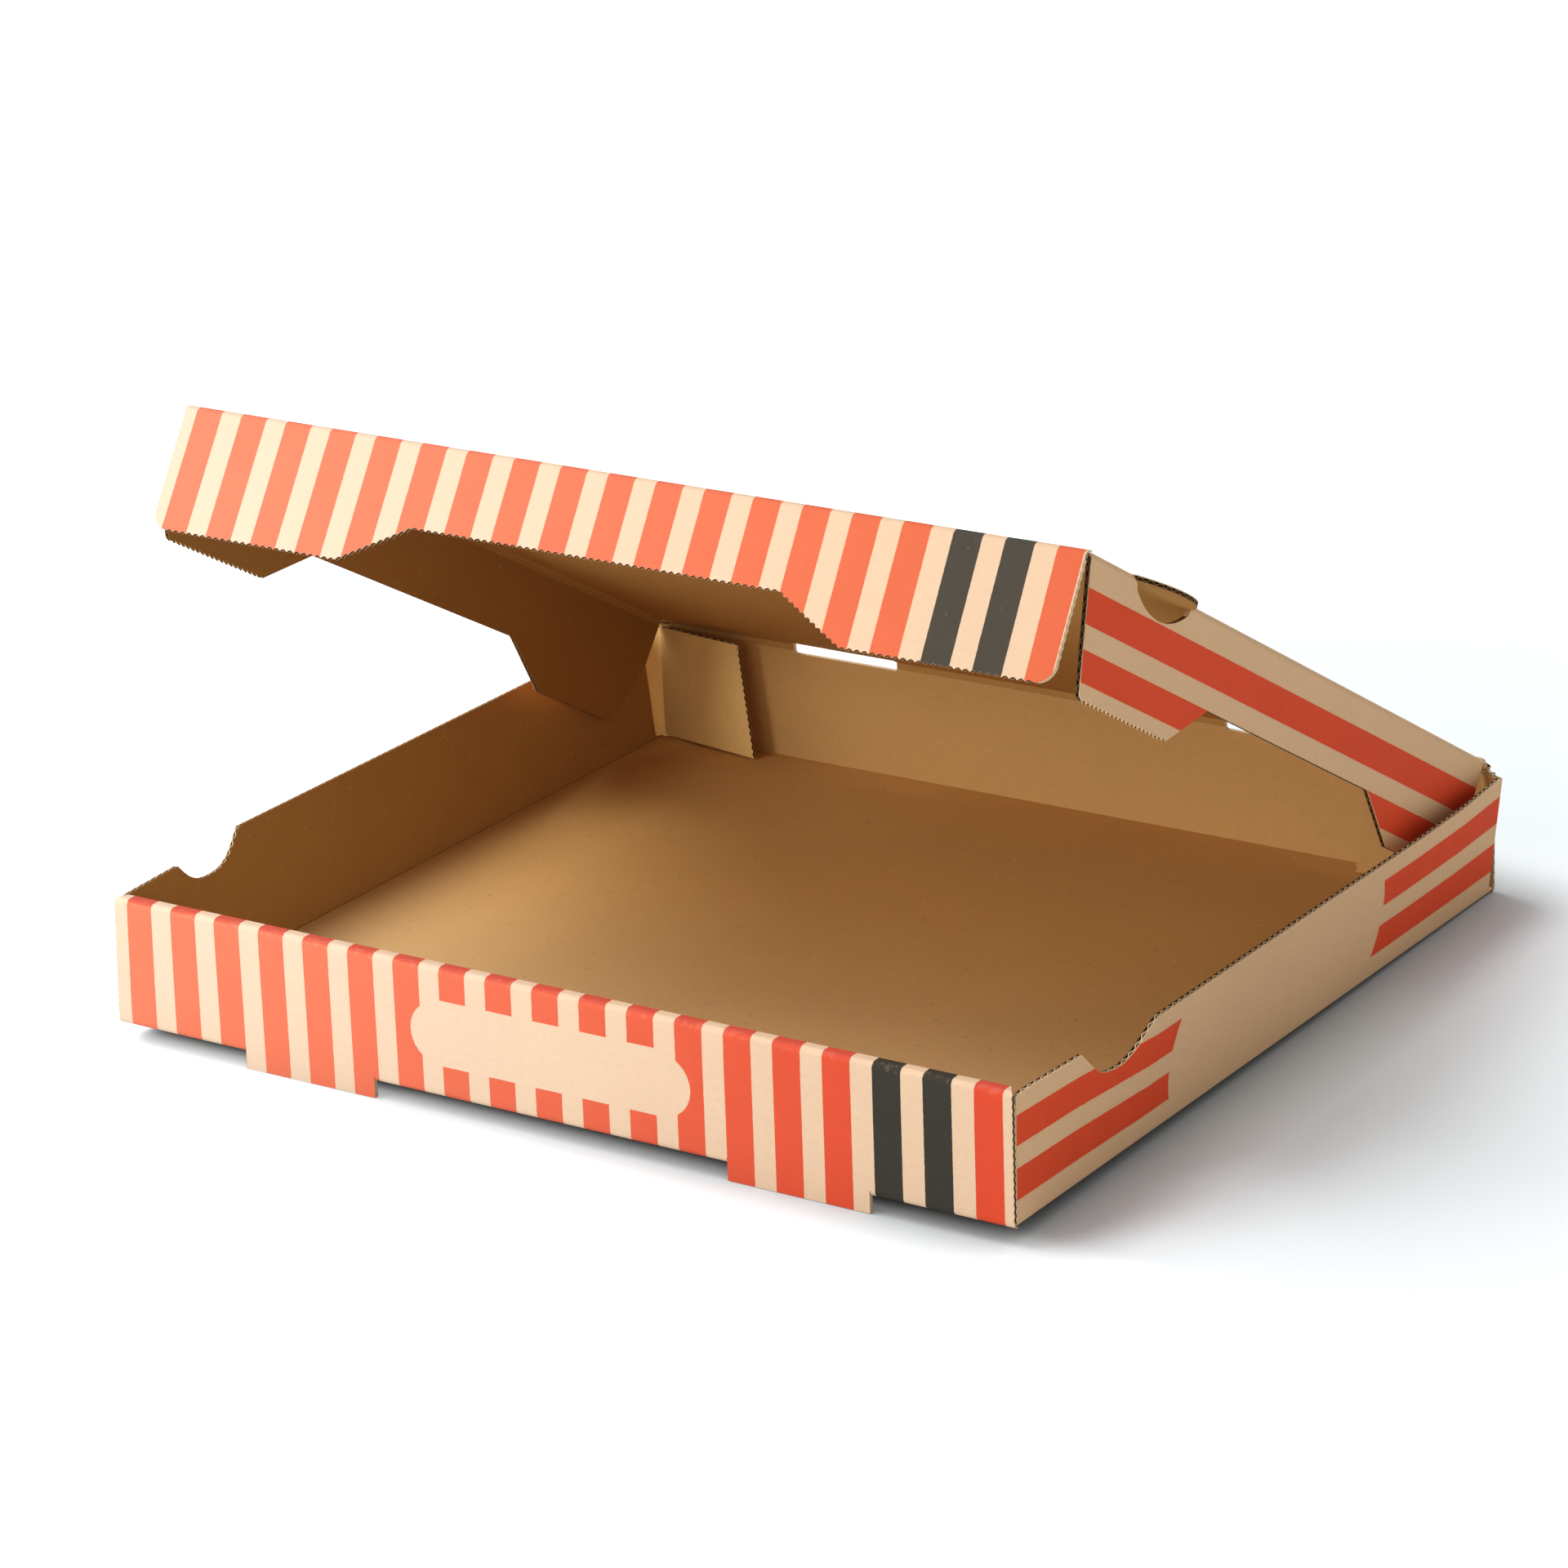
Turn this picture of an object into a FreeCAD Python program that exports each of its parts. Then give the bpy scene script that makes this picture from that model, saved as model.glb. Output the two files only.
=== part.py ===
import FreeCAD, Part
import os
import re
import Sketcher

# A folded pizza box of E-flute corrugated board, standing with its lid partly open.
# X runs along the front wall, Y from the front to the back, and Z up from the bottoms of
# the two feet. The origin is below the middle of the tray.
# The lid and its flaps are drawn as if the box were closed, in a frame whose origin is on
# the lid's fold, and one placement then turns them up together.

# Every driving size in millimetres or degrees, with its alias in the sheet.
SIZES = [
    ("box_width", 330.0),          # the tray from left to right, outside
    ("box_depth", 309.0),          # the tray from front to back, outside
    ("board", 1.6),                # thickness of the corrugated board
    ("fold_round", 1.8),           # outside radius of a fold in the tray
    ("front_rise", 43.0),          # the front wall above the tray's underside
    ("side_rise", 42.0),           # the side walls above the underside
    ("hinge_rise", 44.3),          # the lid's fold above the underside
    ("top_band", 5.7),             # the flat top of the rolled front wall, front to back
    ("band_inset", 3.3),           # the rolled part stops this far from each end
    ("foot_drop", 5.5),            # how far the feet hang below the underside
    ("foot_width", 50.0),
    ("foot_centre", 90.5),         # from the middle of the box to the middle of a foot
    ("lock_slot_back", 7.5),       # rear edge of the slots that the feet leave in the floor
    ("lock_clear", 0.8),           # play of a lock tab in its slot, at each end
    ("skirt_rise", 2.4),           # the upright start of a side wall, below its lean
    ("front_lean", 0.5),           # how far a side wall's top leans out at the front
    ("notch_lean", 2.4),           # the same at the front end of the notch
    ("wall_lean", 7.8),            # the same behind the notch
    ("rear_lean_left", 4.6),       # the same at the rear end of the left wall
    ("rear_lean_right", 4.6),      # the same at the rear end of the right wall
    ("notch_start", 36.5),         # the notch in a side wall, measured from the front
    ("notch_floor_start", 46.5),
    ("notch_floor_end", 56.0),
    ("notch_end", 73.0),
    ("notch_deep", 10.0),
    ("notch_round_front", 9.0),
    ("notch_round_rear", 14.0),
    ("front_tab_length", 62.0),    # the side walls' tabs caught inside the front wall
    ("front_tab_rise", 38.0),
    ("tab_clear", 0.4),            # play of a corner tab against the wall beside it
    ("rear_tab_length", 42.0),     # the side walls' tabs folded in along the back wall
    ("rear_tab_slant", 5.0),       # how much shorter a rear tab is at its top
    ("rear_tab_rise", 42.5),
    ("rear_tab_angle", 4.0),       # how far a rear tab stands off the back wall
    ("relief_width", 42.5),        # the two slots in the lid's fold
    ("relief_deep", 3.0),
    ("relief_centre", 86.2),
    ("relief_round", 1.3),
    ("fold_gap", 0.3),             # from a crease's axis to each panel
    ("fold_land", 0.2),            # the flat left between the two bevels at a crease
    ("lid_open_angle", 29.7),      # how far the lid stands open
    ("lid_length", 296.0),         # from the lid's fold to the fold of its front flap
    ("side_clear", 0.4),           # play of the lid's side flaps inside the side walls
    ("lid_edge_round", 1.2),
    ("front_flap_drop", 40.0),
    ("front_flap_taper", 0.5),     # how much narrower the front flap is at its corners
    ("front_flap_round", 6.0),
    ("front_recess_drop", 26.5),   # depth of the front flap in its middle
    ("front_recess_half", 66.5),
    ("front_recess_foot", 91.0),   # half of the recess where its slanted sides end
    ("side_flap_drop", 41.0),
    ("side_recess_drop", 26.0),
    ("side_flap_round", 5.0),
    ("side_flap_hang", 0.15),      # play between the lid's underside and a side flap
    ("side_flap_rear", 7.0),       # the side flap's outline, measured from the lid's fold
    ("side_flap_rear_knee", 17.0),
    ("side_flap_rear_foot", 19.0),
    ("side_recess_rear_foot", 63.4),
    ("side_recess_rear", 88.0),
    ("side_recess_front", 86.0),   # the rest of it, measured back from the front flap's fold
    ("side_recess_front_foot", 65.0),
    ("side_flap_front_foot", 8.0),
    ("side_flap_front", 1.5),
    ("half_moon_centre", 48.0),    # the half-moon tab on each side of the lid, also from there
    ("half_moon_half", 20.5),
    ("half_moon_reach", 7.5),
    ("half_moon_clear", 0.4),
    ("half_moon_root", 6.4),       # how far a half-moon's own pad reaches into the lid
]

TOLERANCE = 0.0001             # when an edge counts as lying at a place or having a length

# Places that several sub-parts share, as expressions of the sheet's sizes.
FRONT = "-box_depth / 2"
BACK = "box_depth / 2"
SIDE = "box_width / 2"
FRONT_TOP = "foot_drop + front_rise"
SIDE_TOP = "foot_drop + side_rise"
HINGE_Y = "box_depth / 2 - board / 2"
HINGE_Z = "foot_drop + hinge_rise"
LID_HALF = "box_width / 2 - board - side_clear"
BEVEL = "board / 2 - fold_land / 2"
HALF_MOON_RADIUS = "(half_moon_half ^ 2 + half_moon_reach ^ 2) / (2 * half_moon_reach)"

doc = FreeCAD.newDocument("PizzaBox")
sheet = doc.addObject("Spreadsheet::Sheet", "Sizes")


def fill_sheet():
    """Writes each size to its own cell and gives the cell its alias."""
    for row, (alias, number) in enumerate(SIZES, start=1):
        sheet.set("A%d" % row, str(number))
        sheet.setAlias("A%d" % row, alias)
    doc.recompute()


ALIASES = {alias for alias, number in SIZES}


def sized(text):
    """Turns an expression of plain aliases into one that the document can bind."""
    return re.sub(r"[a-z_]+", lambda word: "Sizes." + word[0] if word[0] in ALIASES else word[0], text)


def value(text):
    """The number that an expression of sizes stands for."""
    return float(sheet.evalExpression(sized(text)))


def new_body(label):
    body = doc.addObject("PartDesign::Body", label)
    body.Label = label
    return body


def origin_plane(body, role):
    return [feature for feature in body.Origin.OriginFeatures if feature.Role == role][0]


def new_sketch(body, name, role, offset):
    """An empty sketch on one of the body's planes, moved along the plane's normal."""
    sketch = body.newObject("Sketcher::SketchObject", name)
    sketch.AttachmentSupport = (origin_plane(body, role), [""])
    sketch.MapMode = "FlatFace"
    sketch.setExpression("AttachmentOffset.Base.z", sized(offset))
    return sketch


def arc_between(start, end, radius):
    """The shorter arc from start to end, counter-clockwise for a positive radius."""
    chord = end - start
    middle = (start + end) * 0.5
    across = FreeCAD.Vector(-chord.y, chord.x, 0).normalize()
    reach = (radius ** 2 - (chord.Length / 2) ** 2) ** 0.5
    bulge = middle + across * (reach - abs(radius)) * (1 if radius > 0 else -1)
    return Part.Arc(start, bulge, end)


def draw(sketch, corners, arcs=None):
    """Draws a closed outline with each corner bound to a pair of expressions.

    arcs gives, for the side that starts at a corner, its radius and its turn:
    1 for counter-clockwise and -1 for clockwise.
    """
    arcs = arcs or {}
    points = [FreeCAD.Vector(value(x), value(y), 0) for x, y in corners]
    ends = []
    for index, start in enumerate(points):
        end = points[(index + 1) % len(points)]
        if index not in arcs:
            side = Part.LineSegment(start, end)
            first, last = 1, 2
        else:
            radius, turn = arcs[index]
            side = arc_between(start, end, value(radius) * turn)
            first, last = (1, 2) if turn > 0 else (2, 1)
        sketch.addGeometry(side, False)
        ends.append((first, last))
    for index in range(len(points)):
        following = (index + 1) % len(points)
        join = Sketcher.Constraint("Coincident", index, ends[index][1], following, ends[following][0])
        sketch.addConstraint(join)
    for index, (x, y) in enumerate(corners):
        across = Sketcher.Constraint("DistanceX", -1, 1, index, ends[index][0], points[index].x)
        sketch.setExpression("Constraints[%d]" % sketch.addConstraint(across), sized(x))
        upward = Sketcher.Constraint("DistanceY", -1, 1, index, ends[index][0], points[index].y)
        sketch.setExpression("Constraints[%d]" % sketch.addConstraint(upward), sized(y))
    for index, (radius, turn) in arcs.items():
        size = Sketcher.Constraint("Radius", index, value(radius))
        sketch.setExpression("Constraints[%d]" % sketch.addConstraint(size), sized(radius))


def outline(body, name, role, offset, corners, arcs=None):
    """A sketch with one closed outline."""
    sketch = new_sketch(body, name + "_sketch", role, offset)
    draw(sketch, corners, arcs)
    return sketch


def extrude(body, kind, name, sketch, length, both_ways=False, backwards=False):
    """A pad or a pocket of a sketch."""
    feature = body.newObject("PartDesign::" + kind, name)
    feature.Profile = sketch
    feature.SideType = "Symmetric" if both_ways else "One side"
    feature.Reversed = backwards
    feature.setExpression("Length", sized(length))
    doc.recompute()
    return feature


def box_corners(left, bottom, right, top):
    """The four corners of a rectangle, as expressions."""
    return [(left, bottom), (right, bottom), (right, top), (left, top)]


def dress(body, kind, name, size, wanted):
    """A fillet or a chamfer on the edges of the body's tip that wanted picks."""
    base = body.Tip
    names = ["Edge%d" % number for number, edge in enumerate(base.Shape.Edges, start=1) if wanted(edge)]
    if not names:
        raise RuntimeError("no edge found for " + name)
    feature = body.newObject("PartDesign::" + kind, name)
    feature.Base = (base, names)
    feature.setExpression("Radius" if kind == "Fillet" else "Size", sized(size))
    doc.recompute()
    return feature


def lies_on(edge, **places):
    """Whether the whole edge lies at the given coordinates, such as Y=0."""
    box = edge.BoundBox
    for axis, place in places.items():
        low, high = getattr(box, axis + "Min"), getattr(box, axis + "Max")
        if abs(low - place) > TOLERANCE or abs(high - place) > TOLERANCE:
            return False
    return True


def floor_and_skirts(tray):
    """The floor with the upright starts of the two side walls."""
    inside = SIDE + " - board"
    floor_top = "foot_drop + board"
    skirt_top = "foot_drop + skirt_rise"
    corners = [
        ("-(%s)" % SIDE, "foot_drop"),
        (SIDE, "foot_drop"),
        (SIDE, skirt_top),
        (inside, skirt_top),
        (inside, floor_top),
        ("-(%s)" % inside, floor_top),
        ("-(%s)" % inside, skirt_top),
        ("-(%s)" % SIDE, skirt_top),
    ]
    sketch = outline(tray, "floor", "XZ_Plane", "0", corners)
    extrude(tray, "Pad", "floor", sketch, "box_depth", both_ways=True)


def front_panel(tray):
    """The outer panel of the front wall, which runs the full width."""
    corners = box_corners("-(%s)" % SIDE, "foot_drop", SIDE, FRONT_TOP)
    sketch = outline(tray, "front_panel", "XZ_Plane", "box_depth / 2", corners)
    extrude(tray, "Pad", "front_panel", sketch, "board", backwards=True)


def back_wall(tray):
    """The back wall, whose top edge is the lid's fold, with its two relief slots."""
    top = HINGE_Z + " - fold_gap"
    slot_floor = HINGE_Z + " - relief_deep"
    near = "relief_centre - relief_width / 2"
    far = "relief_centre + relief_width / 2"
    corners = [
        ("-(%s)" % SIDE, "foot_drop"),
        (SIDE, "foot_drop"),
        (SIDE, top),
        (far, top),
        (far, slot_floor),
        (near, slot_floor),
        (near, top),
        ("-(%s)" % near, top),
        ("-(%s)" % near, slot_floor),
        ("-(%s)" % far, slot_floor),
        ("-(%s)" % far, top),
        ("-(%s)" % SIDE, top),
    ]
    sketch = outline(tray, "back_wall", "XZ_Plane", "-box_depth / 2", corners)
    extrude(tray, "Pad", "back_wall", sketch, "board")
    crest = value(top)
    thickness = value("board")
    dress(tray, "Chamfer", "hinge_bevel", BEVEL,
          lambda edge: lies_on(edge, Z=crest) and edge.Length > 2 * thickness)
    dip = value(slot_floor)
    dress(tray, "Fillet", "relief_corners", "relief_round",
          lambda edge: lies_on(edge, Z=dip) and edge.Length < thickness + TOLERANCE)


def bottom_folds(tray):
    """Rounds the four long folds where the walls rise from the floor."""
    low = value("foot_drop")
    dress(tray, "Fillet", "bottom_folds", "fold_round", lambda edge: lies_on(edge, Z=low))


def rolled_front(tray):
    """The front wall's top band and inner panel, rolled over from the outer panel."""
    rear = FRONT + " + top_band"
    corners = [
        (FRONT, FRONT_TOP),
        (FRONT, FRONT_TOP + " - board"),
        (rear + " - board", FRONT_TOP + " - board"),
        (rear + " - board", "foot_drop + board"),
        (rear, "foot_drop + board"),
        (rear, FRONT_TOP),
    ]
    sketch = outline(tray, "rolled_front", "YZ_Plane", "0", corners)
    extrude(tray, "Pad", "rolled_front", sketch, "box_width - 2 * band_inset", both_ways=True)
    crest, front, behind = value(FRONT_TOP), value(FRONT), value(rear)
    dress(tray, "Fillet", "band_folds", "fold_round - tab_clear",
          lambda edge: lies_on(edge, Z=crest, Y=front) or lies_on(edge, Z=crest, Y=behind))


def feet_and_locks(tray):
    """The feet, the slots that they leave in the floor, and the lock tabs in the slots."""
    for name, middle in (("left", "-foot_centre"), ("right", "foot_centre")):
        low_x = middle + " - foot_width / 2"
        high_x = middle + " + foot_width / 2"
        slot = outline(tray, name + "_slot", "XY_Plane", "foot_drop",
                       box_corners(low_x, FRONT + " + board", high_x, FRONT + " + lock_slot_back"))
        extrude(tray, "Pocket", name + "_slot", slot, "skirt_rise", backwards=True)
        foot = outline(tray, name + "_foot", "XZ_Plane", "box_depth / 2",
                       box_corners(low_x, "0 * board", high_x, "foot_drop + 2 * fold_round"))
        extrude(tray, "Pad", name + "_foot", foot, "board", backwards=True)
        tab = outline(tray, name + "_lock_tab", "XZ_Plane", "box_depth / 2 - top_band",
                      box_corners(low_x + " + lock_clear", "foot_drop",
                                  high_x + " - lock_clear", "foot_drop + 2 * board"))
        extrude(tray, "Pad", name + "_lock_tab", tab, "board")


def side_wall(tray, name, side, rear_lean):
    """A side wall, upright at the front corner and leaning out behind the notch."""
    stations = [
        ("front", FRONT + " + board", "front_lean"),
        ("notch", FRONT + " + notch_start", "notch_lean"),
        ("middle", FRONT + " + notch_end", "wall_lean"),
        ("rear", BACK + " - board - tab_clear", rear_lean),
    ]
    low = "foot_drop + skirt_rise"
    sections = []
    for place, along, lean in stations:
        corners = [
            ("%s * (%s)" % (side, SIDE), low),
            ("%s * (%s + %s)" % (side, SIDE, lean), SIDE_TOP),
            ("%s * (%s + %s - board)" % (side, SIDE, lean), SIDE_TOP),
            ("%s * (%s - board)" % (side, SIDE), low),
        ]
        sections.append(outline(tray, "%s_%s" % (name, place), "XZ_Plane", "-(%s)" % along, corners))
    wall = tray.newObject("PartDesign::AdditiveLoft", name)
    wall.Profile = sections[0]
    wall.Sections = [(section, [""]) for section in sections[1:]]
    wall.Ruled = True
    doc.recompute()


def wall_notches(tray):
    """The notch in the top of each side wall, where the lid's half-moons come down."""
    margin = SIDE_TOP + " + board"
    dip = SIDE_TOP + " - notch_deep"
    corners = [
        (FRONT + " + notch_start", margin),
        (FRONT + " + notch_start", SIDE_TOP),
        (FRONT + " + notch_floor_start", dip),
        (FRONT + " + notch_floor_end", dip),
        (FRONT + " + notch_end", SIDE_TOP),
        (FRONT + " + notch_end", margin),
    ]
    sketch = outline(tray, "notches", "YZ_Plane", "0", corners)
    extrude(tray, "Pocket", "notches", sketch, "box_width + 4 * wall_lean", both_ways=True)
    level = value(dip)
    for name, place in (("front", "notch_floor_start"), ("rear", "notch_floor_end")):
        along = value(FRONT + " + " + place)
        dress(tray, "Fillet", "notch_corners_" + name, "notch_round_" + name,
              lambda edge: lies_on(edge, Z=level, Y=along))


def front_tab(tray, name, side):
    """The tab from a side wall's front end, caught inside the rolled front wall."""
    outer = "%s * (%s - board / 2)" % (side, SIDE)
    inner = "%s * (%s - front_tab_length)" % (side, SIDE)
    corners = box_corners(outer, "foot_drop + skirt_rise", inner, "foot_drop + front_tab_rise")
    sketch = outline(tray, name, "XZ_Plane", "box_depth / 2 - board - tab_clear", corners)
    extrude(tray, "Pad", name, sketch, "board", backwards=True)


def rear_tab(tray, name, side, rear_lean):
    """The tab from a side wall's rear end, folded in and standing a little off the back wall."""
    low = "foot_drop + skirt_rise"
    high = "foot_drop + rear_tab_rise"
    corners = [
        ("0 * board", low),
        ("%s * %s" % (side, rear_lean), high),
        ("-%s * (rear_tab_length - rear_tab_slant)" % side, high),
        ("-%s * rear_tab_length" % side, low),
    ]
    sketch = outline(tray, name, "XZ_Plane", "-(%s - board - tab_clear)" % BACK, corners)
    sketch.setExpression("AttachmentOffset.Base.x", sized("%s * (%s - board / 2)" % (side, SIDE)))
    upright = FreeCAD.Rotation(FreeCAD.Vector(0, 1, 0), value("rear_tab_angle"))
    sketch.AttachmentOffset = FreeCAD.Placement(FreeCAD.Vector(), upright)
    sketch.setExpression("AttachmentOffset.Rotation.Angle", sized("%s * rear_tab_angle" % side))
    extrude(tray, "Pad", name, sketch, "board")


def make_tray():
    tray = new_body("tray")
    floor_and_skirts(tray)
    front_panel(tray)
    back_wall(tray)
    bottom_folds(tray)
    rolled_front(tray)
    feet_and_locks(tray)
    side_wall(tray, "left_wall", "-1", "rear_lean_left")
    side_wall(tray, "right_wall", "1", "rear_lean_right")
    wall_notches(tray)
    front_tab(tray, "left_front_tab", "-1")
    front_tab(tray, "right_front_tab", "1")
    rear_tab(tray, "left_rear_tab", "-1", "rear_lean_left")
    rear_tab(tray, "right_rear_tab", "1", "rear_lean_right")
    return tray


def open_with_lid(body):
    """Turns a body that was drawn closed about the lid's fold."""
    fold = "create(<<vector>>; 0; %s; %s)" % (sized(HINGE_Y), sized(HINGE_Z))
    turn = "create(<<rotation>>; create(<<vector>>; 1; 0; 0); -Sizes.lid_open_angle)"
    body.setExpression("Placement", "create(<<placement>>; %s; %s)" % (fold, turn))


def make_lid():
    """The lid panel with its two half-moon tabs, which stay flat when the flaps fold down."""
    lid = new_body("lid")
    front_edge = "-(lid_length - fold_gap)"
    corners = box_corners("-(%s)" % LID_HALF, front_edge, LID_HALF, "-fold_gap")
    panel = outline(lid, "lid_panel", "XY_Plane", "0", corners)
    extrude(lid, "Pad", "lid_panel", panel, "board", both_ways=True)
    front, rear = value(front_edge), value("-fold_gap")
    thickness = value("board")
    half_board = thickness / 2
    for name, place in (("front", front), ("rear", rear)):
        dress(lid, "Chamfer", "lid_%s_bevel" % name, BEVEL,
              lambda edge: lies_on(edge, Y=place) and edge.Length > thickness + TOLERANCE)
    half = value(LID_HALF)
    dress(lid, "Fillet", "lid_side_folds", "lid_edge_round",
          lambda edge: lies_on(edge, X=half, Z=half_board) or lies_on(edge, X=-half, Z=half_board))
    near = "half_moon_centre - half_moon_half - lid_length"
    far = "half_moon_centre + half_moon_half - lid_length"
    for name, side, turn in (("left", "-1", -1), ("right", "1", 1)):
        root = "%s * (%s - half_moon_root)" % (side, LID_HALF)
        fold = "%s * (%s)" % (side, LID_HALF)
        tab = outline(lid, name + "_half_moon", "XY_Plane", "0",
                      [(root, near), (fold, near), (fold, far), (root, far)],
                      {1: (HALF_MOON_RADIUS, turn)})
        extrude(lid, "Pad", name + "_half_moon", tab, "board", both_ways=True)
    open_with_lid(lid)
    return lid


def make_front_flap():
    """The lid's front flap, with a raised middle between two deeper ends."""
    flap = new_body("lid_front_flap")
    top = "-fold_gap"
    foot = "-front_flap_drop"
    narrow = "%s - front_flap_taper" % LID_HALF
    corners = [
        (LID_HALF, top),
        (narrow, foot),
        ("front_recess_foot", foot),
        ("front_recess_half", "-front_recess_drop"),
        ("-front_recess_half", "-front_recess_drop"),
        ("-front_recess_foot", foot),
        ("-(%s)" % narrow, foot),
        ("-(%s)" % LID_HALF, top),
    ]
    sketch = outline(flap, "front_flap", "XZ_Plane", "lid_length", corners)
    extrude(flap, "Pad", "front_flap", sketch, "board", both_ways=True)
    crest = value(top)
    thickness = value("board")
    dress(flap, "Chamfer", "front_flap_bevel", BEVEL,
          lambda edge: lies_on(edge, Z=crest) and edge.Length > thickness + TOLERANCE)
    low, corner = value(foot), value(narrow)
    dress(flap, "Fillet", "front_flap_corners", "front_flap_round",
          lambda edge: lies_on(edge, Z=low, X=corner) or lies_on(edge, Z=low, X=-corner))
    open_with_lid(flap)
    return flap


def make_side_flap(label, side):
    """A side flap of the lid, with a raised middle and the gap that its half-moon leaves."""
    flap = new_body(label)
    top = "-(board / 2 + side_flap_hang)"
    foot = "-(board / 2 + side_flap_drop)"
    dip = "-(board / 2 + side_recess_drop)"
    gap_front = "half_moon_centre - half_moon_half - half_moon_clear - lid_length"
    gap_rear = "half_moon_centre + half_moon_half + half_moon_clear - lid_length"
    corners = [
        ("-side_flap_rear", top),
        ("-side_flap_rear", "-(board / 2 + side_flap_rear_knee)"),
        ("-side_flap_rear_foot", foot),
        ("-side_recess_rear_foot", foot),
        ("-side_recess_rear", dip),
        ("side_recess_front - lid_length", dip),
        ("side_recess_front_foot - lid_length", foot),
        ("side_flap_front_foot - lid_length", foot),
        ("side_flap_front - lid_length", top),
        (gap_front, top),
        (gap_rear, top),
    ]
    middle = "%s * (%s - board / 2)" % (side, LID_HALF)
    sketch = outline(flap, label, "YZ_Plane", middle, corners,
                     {9: (HALF_MOON_RADIUS + " + half_moon_clear", 1)})
    extrude(flap, "Pad", label, sketch, "board", both_ways=True)
    low = value(foot)
    front, rear = value("side_flap_front_foot - lid_length"), value("-side_flap_rear_foot")
    dress(flap, "Fillet", label + "_corners", "side_flap_round",
          lambda edge: lies_on(edge, Z=low, Y=front) or lies_on(edge, Z=low, Y=rear))
    open_with_lid(flap)
    return flap


def check(parts):
    """Stops the script if any object failed or any sub-part is not one sound solid."""
    doc.recompute()
    for item in doc.Objects:
        if "Invalid" in item.State or "Error" in item.State:
            raise RuntimeError("failed: " + item.Name)
    for part in parts:
        shape = part.Shape
        if shape.isNull() or not shape.isValid() or len(shape.Solids) != 1:
            raise RuntimeError("not one sound solid: " + part.Label)


fill_sheet()
parts = [
    make_tray(),
    make_lid(),
    make_front_flap(),
    make_side_flap("lid_left_flap", "-1"),
    make_side_flap("lid_right_flap", "1"),
]
check(parts)
os.makedirs("parts", exist_ok=True)
for part in parts:
    part.Shape.exportStep("parts/%s.step" % part.Label)
    bounds = part.Shape.BoundBox
    print("%-16s %8.0f mm3  x %.1f..%.1f  y %.1f..%.1f  z %.1f..%.1f" % (
        part.Label, part.Shape.Volume, bounds.XMin, bounds.XMax,
        bounds.YMin, bounds.YMax, bounds.ZMin, bounds.ZMax))
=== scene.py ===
"""Looks of a folded, printed pizza box of corrugated board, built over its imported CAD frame.

Every panel is a sheet of board with two liners and a core between them. A sheet is drawn
flat, in millimetres, with a place along it, a place across it and a depth from its outer
face, and is then folded into the box's frame.
"""
import math

import bmesh
import bpy
import numpy as np
from mathutils import Matrix, Vector


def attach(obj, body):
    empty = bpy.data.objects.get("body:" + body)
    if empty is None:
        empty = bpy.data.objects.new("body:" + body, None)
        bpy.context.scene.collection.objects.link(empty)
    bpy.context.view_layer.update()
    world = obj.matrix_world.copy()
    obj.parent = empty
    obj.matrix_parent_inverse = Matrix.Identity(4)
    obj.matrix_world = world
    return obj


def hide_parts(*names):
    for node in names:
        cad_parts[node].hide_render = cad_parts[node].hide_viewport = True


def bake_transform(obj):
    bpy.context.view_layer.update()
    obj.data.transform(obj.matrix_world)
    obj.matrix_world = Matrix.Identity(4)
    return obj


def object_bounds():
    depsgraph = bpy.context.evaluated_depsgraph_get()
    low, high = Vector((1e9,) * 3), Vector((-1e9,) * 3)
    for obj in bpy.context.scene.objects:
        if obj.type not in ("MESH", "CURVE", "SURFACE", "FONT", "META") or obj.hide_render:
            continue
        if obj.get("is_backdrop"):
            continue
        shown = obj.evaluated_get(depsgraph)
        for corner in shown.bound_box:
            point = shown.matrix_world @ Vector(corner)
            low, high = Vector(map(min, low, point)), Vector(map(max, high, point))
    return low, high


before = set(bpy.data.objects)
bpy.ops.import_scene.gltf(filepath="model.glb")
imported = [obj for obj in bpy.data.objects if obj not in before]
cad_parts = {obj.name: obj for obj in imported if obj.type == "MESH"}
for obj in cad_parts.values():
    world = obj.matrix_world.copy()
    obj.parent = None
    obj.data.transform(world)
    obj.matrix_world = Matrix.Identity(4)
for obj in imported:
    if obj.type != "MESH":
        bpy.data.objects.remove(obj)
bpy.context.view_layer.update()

MM = 0.001
HALF_WIDTH = 165.0
FRONT = -154.5
BACK = 154.5
UNDERSIDE = 5.5
BOARD = 1.6
LINER = 0.3
MEDIUM = 0.30
FLUTE_PITCH = 3.5
FLUTE_DEPTH = 2.6
FOLD_ROUND = 1.8
QUARTER = FOLD_ROUND * math.pi / 2

FRONT_RISE = 43.0
SIDE_RISE = 42.0
HINGE_Y = 153.7
HINGE_Z = 49.8
TOP_BAND = 5.7
BAND_INSET = 3.3
FOOT_DROP = 5.5
FOOT_LOW_X = 65.5
FOOT_HIGH_X = 115.5
SLOT_BACK = 7.5
SLIT = 0.3

LID_ANGLE = math.radians(29.7)
LID_HALF = 163.0
LID_LENGTH = 296.0
FLAP_FACE = 163.0

STRIPE_START = 5.1
STRIPE_PITCH = 17.33
STRIPE_WIDTH = 9.9
FIRST_DARK_STRIPE = 16
LAST_DARK_STRIPE = 17

WAVE_PITCH = 2.6
WAVE_REACHES = {"wave": 0.75, "nick": 0.35, "crush": 0.30}
ARC_STEPS = 14
SMOOTH_BELOW = math.radians(32.0)

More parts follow.
